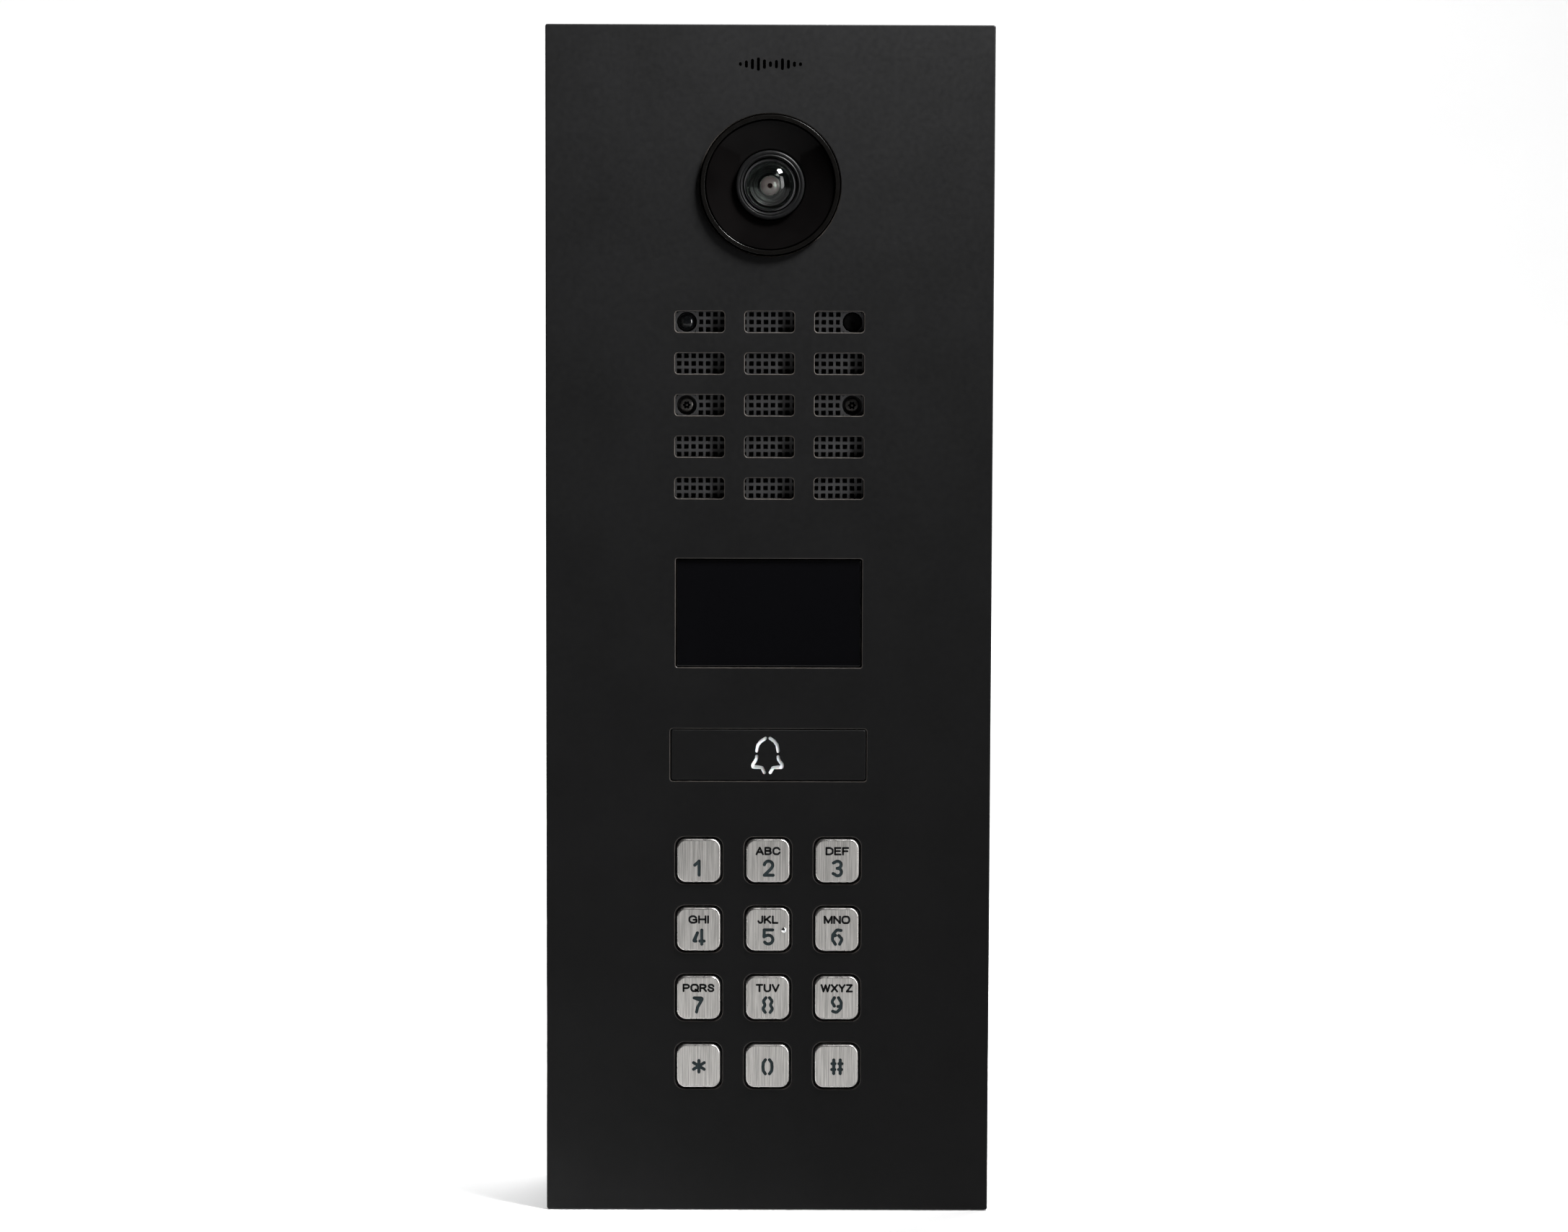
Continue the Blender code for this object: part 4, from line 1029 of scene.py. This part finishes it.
class INTERCOM_OT_display(bpy.types.Operator):
    """Glossy display window with a ground edge and its flange"""

    bl_idname = "intercom.display"
    bl_label = "Display window"

    def execute(self, context):
        low, high = corners("display_window")
        at = (DISPLAY.x, DISPLAY.z)
        flange = block("display_window_glass", at, (high.x - low.x, high.z - low.z), -44.3, high.y, 1.0, 5)
        pane = block("pane", at, (49.7, 28.9), low.y, -44.1, 0.45, 5, 0.3, 4)
        window = joined(flange, pane)
        finished(window, "panel", "gloss_black", "display_window", finish="black_glass")
        return {"FINISHED"}


BELL = (
    ((-0.75, 4.55), (-2.0, 3.75), (-2.8, 2.75), (-3.1, 1.1)),
    ((0.45, 4.55), (1.6, 3.8), (2.35, 2.75), (2.65, 1.0)),
    (
        (-3.12, -0.35), (-3.2, -1.0), (-3.6, -1.75), (-4.15, -2.5), (-4.25, -3.3), (-1.75, -3.35),
        (-1.05, -4.75),
    ),
    ((2.65, -0.45), (2.75, -1.1), (3.15, -1.8), (3.75, -2.5), (3.85, -3.35), (1.3, -3.4), (0.55, -4.75)),
)


def coil(name, at, radius, wire, front, back, turns):
    """A coil spring of round wire about the line through at along Y."""
    middle_of_wire = (at[0] * MM, 0, at[1] * MM)
    bpy.ops.mesh.primitive_circle_add(vertices=10, radius=wire * MM, location=middle_of_wire)
    spring = bpy.context.object
    spring.name = name
    open_whole()
    bpy.ops.transform.translate(value=(radius * MM, (front + wire) * MM, 0))
    done()
    winding = spring.modifiers.new("winding", "SCREW")
    winding.axis, winding.angle, winding.steps = "Y", 2 * math.pi * turns, round(turns * 18)
    winding.render_steps = winding.steps
    winding.screw_offset = (back - front - 2 * wire) * MM
    bpy.ops.object.modifier_apply(modifier=winding.name)
    settle(spring)
    open_whole()
    bpy.ops.mesh.fill_holes(sides=0)
    bpy.ops.mesh.select_all(action="SELECT")
    bpy.ops.mesh.normals_make_consistent(inside=False)
    done()
    check_closed(spring)
    return spring


class INTERCOM_OT_call_button(bpy.types.Operator):
    """Call button cap with a bell cut through it, the white light guide in the bell and the two springs"""

    bl_idname = "intercom.call_button"
    bl_label = "Call button"

    def execute(self, context):
        sizes = context.scene.intercom_sizes
        width = sizes.bell_stroke / MM
        low, high = corners("call_button_cap")
        at = (BUTTON.x, BUTTON.z)
        cap = block(
            "call_button_cap_coated", at, (high.x - low.x + 0.3, high.z - low.z + 0.3), low.y, high.y, 0.6,
            4, 0.2, 3,
        )
        dress(cap, "powder_coat")
        for line in BELL:
            cut(cap, stroke("cutter", line, width, low.y - 1, high.y + 1, at, 0.55))
        finished(cap, "call_button", "black_coat", "call_button_cap", smooth=math.radians(30))

        low, high = corners("bell_light_guide")
        guide = block(
            "bell_light_guide_moulded", (middle("bell_light_guide").x, middle("bell_light_guide").z),
            (high.x - low.x, high.z - low.z), low.y, high.y, 0.8, 4, 0.3, 2,
        )
        strokes = [stroke("line", line, width - 0.06, FRONT + 0.28, low.y + 0.3, at, 0.55) for line in BELL]
        guide = joined(guide, *strokes)
        finished(guide, "call_button", "diffuser", "bell_light_guide", finish="white_diffuser")

        for side in ("left", "right"):
            node = f"call_button_spring_{side}"
            low, high = corners(node)
            spring = coil(f"{node}_coil", (middle(node).x, middle(node).z), 2.7, 0.3, low.y, high.y, 3.5)
            finished(spring, "panel", "zinc_sheet", node, finish="plated_steel", smooth=math.radians(60))
            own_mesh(spring)
        return {"FINISHED"}


def arc(centre, radius, start, end, steps=9):
    """Points on an arc, angles in degrees."""
    angles = [math.radians(start + (end - start) * i / steps) for i in range(steps + 1)]
    return [(centre[0] + radius * math.cos(a), centre[1] + radius * math.sin(a)) for a in angles]


DIGITS = {
    "1": [[(-1.1, -1.2), (0.05, -0.15)], [(0.07, -0.1), (0.07, -3.9)]],
    "2": [
        [(-1.0, -1.05), *arc((0.15, -1.15), 1.12, 160, -20, 8), (0.75, -2.2), (-1.0, -3.9)],
        [(-0.95, -3.9), (1.4, -3.9)],
    ],
    "3": [
        [(-1.0, -0.5), *arc((0.1, -1.0), 0.98, 130, -80, 8), (0.0, -1.98)],
        [(0.1, -1.98), *arc((0.15, -2.98), 1.02, 80, -140, 9), (-1.1, -3.4)],
    ],
    "4": [
        [(0.83, -0.2), (0.83, -4.05)], [(-0.35, -0.95), (-1.35, -3.2), (-0.75, -3.22)],
        [(0.3, -3.2), (1.45, -3.2)],
    ],
    "5": [
        [(-1.0, -0.1), (1.3, -0.1)], [(-0.97, -0.1), (-1.03, -2.0)],
        [(-0.95, -1.9), *arc((0.15, -2.75), 1.22, 125, -145, 11)],
    ],
    "6": [
        [(1.1, -0.2), (0, 0.0), (-1.15, -1.45), (-1.2, -2.8), (-0.4, -4.0)],
        [(0.5, -1.6), (1.45, -2.6), (0.75, -3.95)], [(-0.95, -1.75), (-0.35, -1.55)],
    ],
    "7": [[(-1.2, -0.05), (1.15, -0.05), (0.5, -1.25), (-0.3, -2.65), (-0.55, -3.9)]],
    "8": [
        [(-0.45, 0.05), (-1.25, -0.9), (-0.65, -1.95), (-1.35, -3.0), (-0.65, -3.95)],
        [(0.5, 0.05), (1.3, -0.9), (0.7, -1.95), (1.4, -3.0), (0.7, -3.95)],
    ],
    "9": [
        [(-0.6, 0.1), (-1.3, -1.0), (-0.6, -2.2)],
        [(0.5, 0.1), (1.25, -1.15), (1.15, -2.75), (0, -4.0), (-1.05, -3.6)], [(0.95, -2.25), (0.35, -2.3)],
    ],
    "star": [[(0.1, 1.5), (0.1, -1.65)], [(-1.35, 0.9), (1.55, -0.9)], [(1.55, 0.9), (-1.35, -0.9)]],
    "0": [
        [(-0.55, 1.75), (-1.12, 0.95), (-1.22, -0.2), (-1.12, -1.3), (-0.55, -2.1)],
        [(0.55, 1.75), (1.15, 0.95), (1.25, -0.2), (1.15, -1.3), (0.55, -2.1)],
    ],
    "hash": [
        [(-0.7, 1.75), (-0.7, -2.0)],
        [(1.05, 1.75), (1.05, -2.0)],
        [(-1.2, 0.72), (-0.35, 0.72)],
        [(0.7, 0.72), (1.55, 0.72)],
        [(-1.25, -0.88), (-0.4, -0.88)],
        [(0.62, -0.88), (1.45, -0.88)],
    ],
}
LETTER_LINES = {
    "A": (0.72, [[(0, 0), (0.36, 1)], [(0.36, 1), (0.72, 0)], [(0.13, 0.32), (0.59, 0.32)]]),
    "B": (
        0.62,
        [
            [(0, 0), (0, 1)], [(0, 1), (0.4, 1), (0.57, 0.86), (0.57, 0.66), (0.4, 0.53), (0, 0.53)],
            [(0, 0.53), (0.42, 0.53), (0.62, 0.38), (0.62, 0.14), (0.42, 0), (0, 0)],
        ],
    ),
    "C": (0.7, [[(0.68, 0.74), (0.52, 1), (0.2, 1), (0, 0.75), (0, 0.25), (0.2, 0), (0.52, 0), (0.7, 0.28)]]),
    "D": (0.66, [[(0, 0), (0, 1)], [(0, 1), (0.38, 1), (0.66, 0.78), (0.66, 0.22), (0.38, 0), (0, 0)]]),
    "E": (0.58, [[(0, 0), (0, 1)], [(0, 1), (0.56, 1)], [(0, 0.52), (0.5, 0.52)], [(0, 0), (0.58, 0)]]),
    "F": (0.54, [[(0, 0), (0, 1)], [(0, 1), (0.54, 1)], [(0, 0.5), (0.46, 0.5)]]),
    "G": (
        0.72,
        [
            [(0.68, 0.76), (0.52, 1), (0.2, 1), (0, 0.75), (0, 0.25), (0.2, 0), (0.52, 0), (0.72, 0.14)],
            [(0.72, 0.14), (0.72, 0.46)], [(0.42, 0.46), (0.72, 0.46)],
        ],
    ),
    "H": (0.66, [[(0, 0), (0, 1)], [(0.66, 0), (0.66, 1)], [(0, 0.52), (0.66, 0.52)]]),
    "I": (0.0, [[(0, 0), (0, 1)]]),
    "J": (0.46, [[(0.46, 1), (0.46, 0.24), (0.34, 0), (0.12, 0), (0, 0.26)]]),
    "K": (0.66, [[(0, 0), (0, 1)], [(0.6, 1), (0.02, 0.38)], [(0.22, 0.58), (0.66, 0)]]),
    "L": (0.52, [[(0, 0), (0, 1)], [(0, 0), (0.52, 0)]]),
    "M": (0.8, [[(0, 0), (0, 1)], [(0, 1), (0.4, 0.06)], [(0.4, 0.06), (0.8, 1)], [(0.8, 1), (0.8, 0)]]),
    "N": (0.66, [[(0, 0), (0, 1)], [(0, 1), (0.66, 0)], [(0.66, 0), (0.66, 1)]]),
    "O": (
        0.78,
        [
            [(0.4, 1), (0.16, 1), (0, 0.72), (0, 0.28), (0.16, 0), (0.4, 0)],
            [(0.38, 1), (0.62, 1), (0.78, 0.72), (0.78, 0.28), (0.62, 0), (0.38, 0)],
        ],
    ),
    "P": (0.62, [[(0, 0), (0, 1)], [(0, 1), (0.42, 1), (0.62, 0.86), (0.62, 0.6), (0.42, 0.46), (0, 0.46)]]),
    "Q": (
        0.78,
        [
            [(0.4, 1), (0.16, 1), (0, 0.72), (0, 0.28), (0.16, 0), (0.4, 0)],
            [(0.38, 1), (0.62, 1), (0.78, 0.72), (0.78, 0.28), (0.62, 0), (0.38, 0)],
            [(0.48, 0.26), (0.8, -0.04)],
        ],
    ),
    "R": (
        0.66,
        [
            [(0, 0), (0, 1)], [(0, 1), (0.42, 1), (0.62, 0.87), (0.62, 0.62), (0.42, 0.48), (0, 0.48)],
            [(0.36, 0.48), (0.66, 0)],
        ],
    ),
    "S": (
        0.62,
        [
            [
                (0.6, 0.76), (0.46, 1), (0.16, 1), (0.02, 0.8), (0.12, 0.58), (0.5, 0.44), (0.62, 0.2),
                (0.46, 0), (0.14, 0), (0, 0.26),
            ]
        ],
    ),
    "T": (0.64, [[(0, 1), (0.64, 1)], [(0.32, 1), (0.32, 0)]]),
    "U": (0.66, [[(0, 1), (0, 0.26), (0.16, 0), (0.5, 0), (0.66, 0.26), (0.66, 1)]]),
    "V": (0.7, [[(0, 1), (0.35, 0)], [(0.35, 0), (0.7, 1)]]),
    "W": (
        1.0,
        [[(0, 1), (0.25, 0)], [(0.25, 0), (0.5, 0.96)], [(0.5, 0.96), (0.75, 0)], [(0.75, 0), (1.0, 1)]],
    ),
    "X": (0.66, [[(0, 1), (0.66, 0)], [(0.66, 1), (0, 0)]]),
    "Y": (0.66, [[(0, 1), (0.33, 0.46)], [(0.66, 1), (0.33, 0.46)], [(0.33, 0.46), (0.33, 0)]]),
    "Z": (0.62, [[(0.02, 1), (0.6, 1)], [(0.6, 1), (0, 0)], [(0, 0), (0.62, 0)]]),
}
LETTERS = {
    "2": ("ABC", 6.8), "3": ("DEF", 6.4), "4": ("GHI", 5.6), "5": ("JKL", 5.7),
    "6": ("MNO", 7.2), "7": ("PQRS", 8.7), "8": ("TUV", 6.5), "9": ("WXYZ", 8.8),
}


class INTERCOM_OT_keys(bpy.types.Operator):
    """Twelve brushed steel keys with painted digits, small letters and a pip on the middle key"""

    bl_idname = "intercom.keys"
    bl_label = "Keys"

    def execute(self, context):
        sizes = context.scene.intercom_sizes
        low, high = corners("key_1")
        home = middle("key_1")
        front, bevel = low.y, sizes.key_bevel / MM
        blank = block("key_blank", (home.x, home.z), (KEY_FACE, KEY_FACE), front, -44.8, 2.5, 10)
        dress(blank, "brushed_steel")
        # The bevel faces take the darker copy of the steel: painted shade on the bevels.
        blank.data.materials.append(FINISHES["bevel_steel_shaded"])
        pick_edges(blank, lambda a, b: abs(a.y - front) < 0.001 and abs(b.y - front) < 0.001)
        bpy.ops.mesh.bevel(offset=bevel * MM, segments=5, affect="EDGES", clamp_overlap=False, material=1)
        done()
        flange = block(
            "flange", (home.x, home.z), (high.x - low.x, high.z - low.z), -45.0, -44.0, 2.0, 4, 0.2, 2
        )
        stub = turned(
            "stub", [(0, -44.4), (2.2, -44.4), (2.2, -42.0), (2.0, -41.8), (0, -41.8)], (home.x, home.z), 32
        )
        for part in (flange, stub):
            dress(part, "moulded_black")

        for name, (x, z) in key_places().items():
            key = copied(blank, f"key_{name}_cap", (x - home.x, 0, z - home.z))
            extras = [copied(part, "part", (x - home.x, 0, z - home.z)) for part in (flange, stub)]
            for i, line in enumerate(DIGITS[name]):
                cut(
                    key,
                    stroke(
                        "cutter", line, sizes.digit_stroke / MM, front - 1, front + 0.14 + 0.006 * i,
                        (x, z), 0.8,
                    ),
                    paint="digit_paint",
                )
            if name in LETTERS:
                words, spread = LETTERS[name]
                label = lettering(
                    words, sizes.letter_height / MM, 0.54, front - 0.015, front + 0.05, (x, z + 2.7), spread
                )
                dress(label, "letter_paint")
                extras.append(label)
            if name == "5":
                pip = turned(
                    "pip",
                    [
                        (0, front - 0.42), (0.3, front - 0.38), (0.58, front - 0.24), (0.74, front - 0.06),
                        (0.8, front + 0.2), (0, front + 0.2),
                    ],
                    (x + 4.4, z - 0.2), 32,
                )
                dress(pip, "chrome")
                extras.append(pip)
            key = joined(key, *extras)
            key.name = f"key_{name}_cap"
            finished(key, f"key_{name}_button", "steel_key", f"key_{name}", smooth=math.radians(30))
        for part in (blank, flange, stub):
            bpy.data.objects.remove(part)
        return {"FINISHED"}


NODE_FINISHES = {
    "plate_gasket": "closed_cell_foam",
    "camera_seal": "rubber",
    "display_seal": "closed_cell_foam",
    "hanging_hook": "galvanised",
    "fixing_bracket": "galvanised",
    "earth_screw": "plated_steel",
    "speaker_frame": "plated_steel",
    "speaker_magnet": "plated_steel",
    "microphone": "plated_steel",
    "call_button_spring_left": "plated_steel",
    "call_button_spring_right": "plated_steel",
    "lcd_panel": "black_glass",
    "keypad_ribbon": "silicone",
    "acoustic_mesh": "acoustic_felt",
}
SLOT_FINISHES = {
    "black_coat": "powder_coat",
    "steel_key": "brushed_steel",
    "zinc_sheet": "galvanised",
    "screw_steel": "blackened_steel",
    "black_plastic": "moulded_black",
    "gloss_black": "black_glass",
    "lens": "lens_glass",
    "rubber": "rubber",
    "silicone": "silicone",
    "diffuser": "white_diffuser",
    "board": "circuit_board",
    "felt": "acoustic_felt",
    "paper_cone": "paper_cone",
}


class INTERCOM_OT_inner_parts(bpy.types.Operator):
    """Finishes for the CAD pieces that are shown as they are"""

    bl_idname = "intercom.inner_parts"
    bl_label = "Inner parts"

    def execute(self, context):
        for name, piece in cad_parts.items():
            for slot in piece.material_slots:
                own = slot.material.name.split(".")[0] if slot.material else "black_plastic"
                slot.material = FINISHES[NODE_FINISHES.get(name) or SLOT_FINISHES.get(own, "moulded_black")]
        return {"FINISHED"}


class INTERCOM_OT_studio(bpy.types.Operator):
    """Camera, pale floor with a swept backdrop and soft lights"""

    bl_idname = "intercom.studio"
    bl_label = "Studio"

    def execute(self, context):
        studio = context.scene.intercom_studio
        scene = context.scene
        scene.view_settings.view_transform = "Standard"

        paper = Finish("studio_paper", studio.floor, 0.85, Specular_IOR_Level=0.1)
        paper.put("Emission Color", (1, 1, 1, 1))
        paper.put("Emission Strength", 0.04)
        paper.shades(paper.noise(3, 2), 0.99, 1.01)
        floor_z = CAD_BOX[0][2] - 0.0002
        bpy.ops.mesh.primitive_plane_add(size=1, location=(0, 0, floor_z))
        floor = bpy.context.object
        floor.name = "studio_floor"
        floor.scale = (6, 3.6, 1)
        floor.location.y = 0.7
        settle(floor)
        pick_edges(floor, lambda a, b: a.y > 2000 and b.y > 2000)
        for i in range(8):
            angle = math.radians(90 * (i + 0.5) / 8)
            bpy.ops.mesh.extrude_edges_move(
                TRANSFORM_OT_translate={"value": (0, 0.16 * math.cos(angle), 0.16 * math.sin(angle))}
            )
        bpy.ops.mesh.extrude_edges_move(TRANSFORM_OT_translate={"value": (0, 0, 3)})
        done()
        bpy.ops.object.shade_smooth()
        dress(floor, "studio_paper")

        world = bpy.data.worlds.new("studio_room")
        scene.world = world
        world.use_nodes = True
        world.node_tree.nodes["Background"].inputs["Color"].default_value = (1, 1, 1, 1)
        world.node_tree.nodes["Background"].inputs["Strength"].default_value = studio.surround
        nodes, links = world.node_tree.nodes, world.node_tree.links
        wall = nodes.new("ShaderNodeBackground")
        wall.inputs["Color"].default_value = (1, 1, 1, 1)
        rays, choice = nodes.new("ShaderNodeLightPath"), nodes.new("ShaderNodeMixShader")
        links.new(rays.outputs["Is Camera Ray"], choice.inputs[0])
        links.new(nodes["Background"].outputs[0], choice.inputs[1])
        links.new(wall.outputs[0], choice.inputs[2])
        links.new(choice.outputs[0], nodes["World Output"].inputs["Surface"])

        def soft_light(name, place, aim, size, power, spread):
            bpy.ops.object.light_add(type="AREA", location=place)
            light = bpy.context.object
            light.name = name
            light.data.shape, light.data.size, light.data.size_y = "RECTANGLE", *size
            light.data.energy = power
            light.data.spread = math.radians(spread)
            light.rotation_euler = (Vector(aim) - Vector(place)).to_track_quat("-Z", "Y").to_euler()

        soft_light(
            "main_soft_box", (0.28, -0.22, 0.54), (0.07, -0.04, 0.31), (0.16, 0.16), studio.key_light, 60
        )
        soft_light("side_soft_box", (1.1, -1.0, 0.35), (0, 0, 0.1), (0.35, 1.3), studio.side_light, 90)
        soft_light("top_soft_box", (0, 1.2, 1.9), (0, 1.4, 0), (3.0, 1.5), studio.top_light, 180)

        bpy.ops.object.camera_add()
        camera = bpy.context.object
        camera.name = "studio_camera"
        azimuth, height, roll = math.radians(-0.142), math.radians(4.206), math.radians(0.173)
        back = Vector(
            (math.sin(azimuth) * math.cos(height), -math.cos(azimuth) * math.cos(height), math.sin(height))
        )
        camera.location = Vector((0, FRONT * MM, 0)) + back * studio.distance
        camera.rotation_euler = (math.pi / 2 - height, 0, azimuth)
        camera.rotation_euler.rotate_axis("Z", roll)
        camera.data.lens, camera.data.sensor_width = studio.lens, 36
        camera.data.shift_x, camera.data.shift_y = 0.00973, 0.00514
        camera.data.dof.use_dof = False
        scene.camera = camera
        return {"FINISHED"}


PIECES = (
    INTERCOM_OT_front_plate,
    INTERCOM_OT_wall_box,
    INTERCOM_OT_camera,
    INTERCOM_OT_grille,
    INTERCOM_OT_screws_and_sensors,
    INTERCOM_OT_display,
    INTERCOM_OT_call_button,
    INTERCOM_OT_keys,
    INTERCOM_OT_inner_parts,
    INTERCOM_OT_studio,
)


class INTERCOM_PT_panel(bpy.types.Panel):
    """Lists the pieces of the intercom panel"""

    bl_idname = "INTERCOM_PT_panel"
    bl_label = "Door intercom panel"
    bl_space_type = "VIEW_3D"
    bl_region_type = "UI"
    bl_category = "Intercom"

    def draw(self, context):
        for piece in PIECES:
            self.layout.operator(piece.bl_idname)
        for group in ("intercom_sizes", "intercom_colours", "intercom_studio"):
            settings = getattr(context.scene, group)
            column = self.layout.box().column()
            for name in settings.bl_rna.properties.keys():
                if name not in ("rna_type", "name"):
                    column.prop(settings, name)


CLASSES = (IntercomSizes, IntercomColours, IntercomStudio, *PIECES, INTERCOM_PT_panel)


def register():
    for item in CLASSES:
        bpy.utils.register_class(item)
    bpy.types.Scene.intercom_sizes = bpy.props.PointerProperty(type=IntercomSizes)
    bpy.types.Scene.intercom_colours = bpy.props.PointerProperty(type=IntercomColours)
    bpy.types.Scene.intercom_studio = bpy.props.PointerProperty(type=IntercomStudio)


def unregister():
    for name in ("intercom_sizes", "intercom_colours", "intercom_studio"):
        delattr(bpy.types.Scene, name)
    for item in reversed(CLASSES):
        bpy.utils.unregister_class(item)


def main():
    register()
    make_finishes(bpy.context.scene.intercom_colours)
    for piece in PIECES:
        getattr(bpy.ops.intercom, piece.bl_idname.split(".")[1])()


if __name__ == "__main__":
    main()
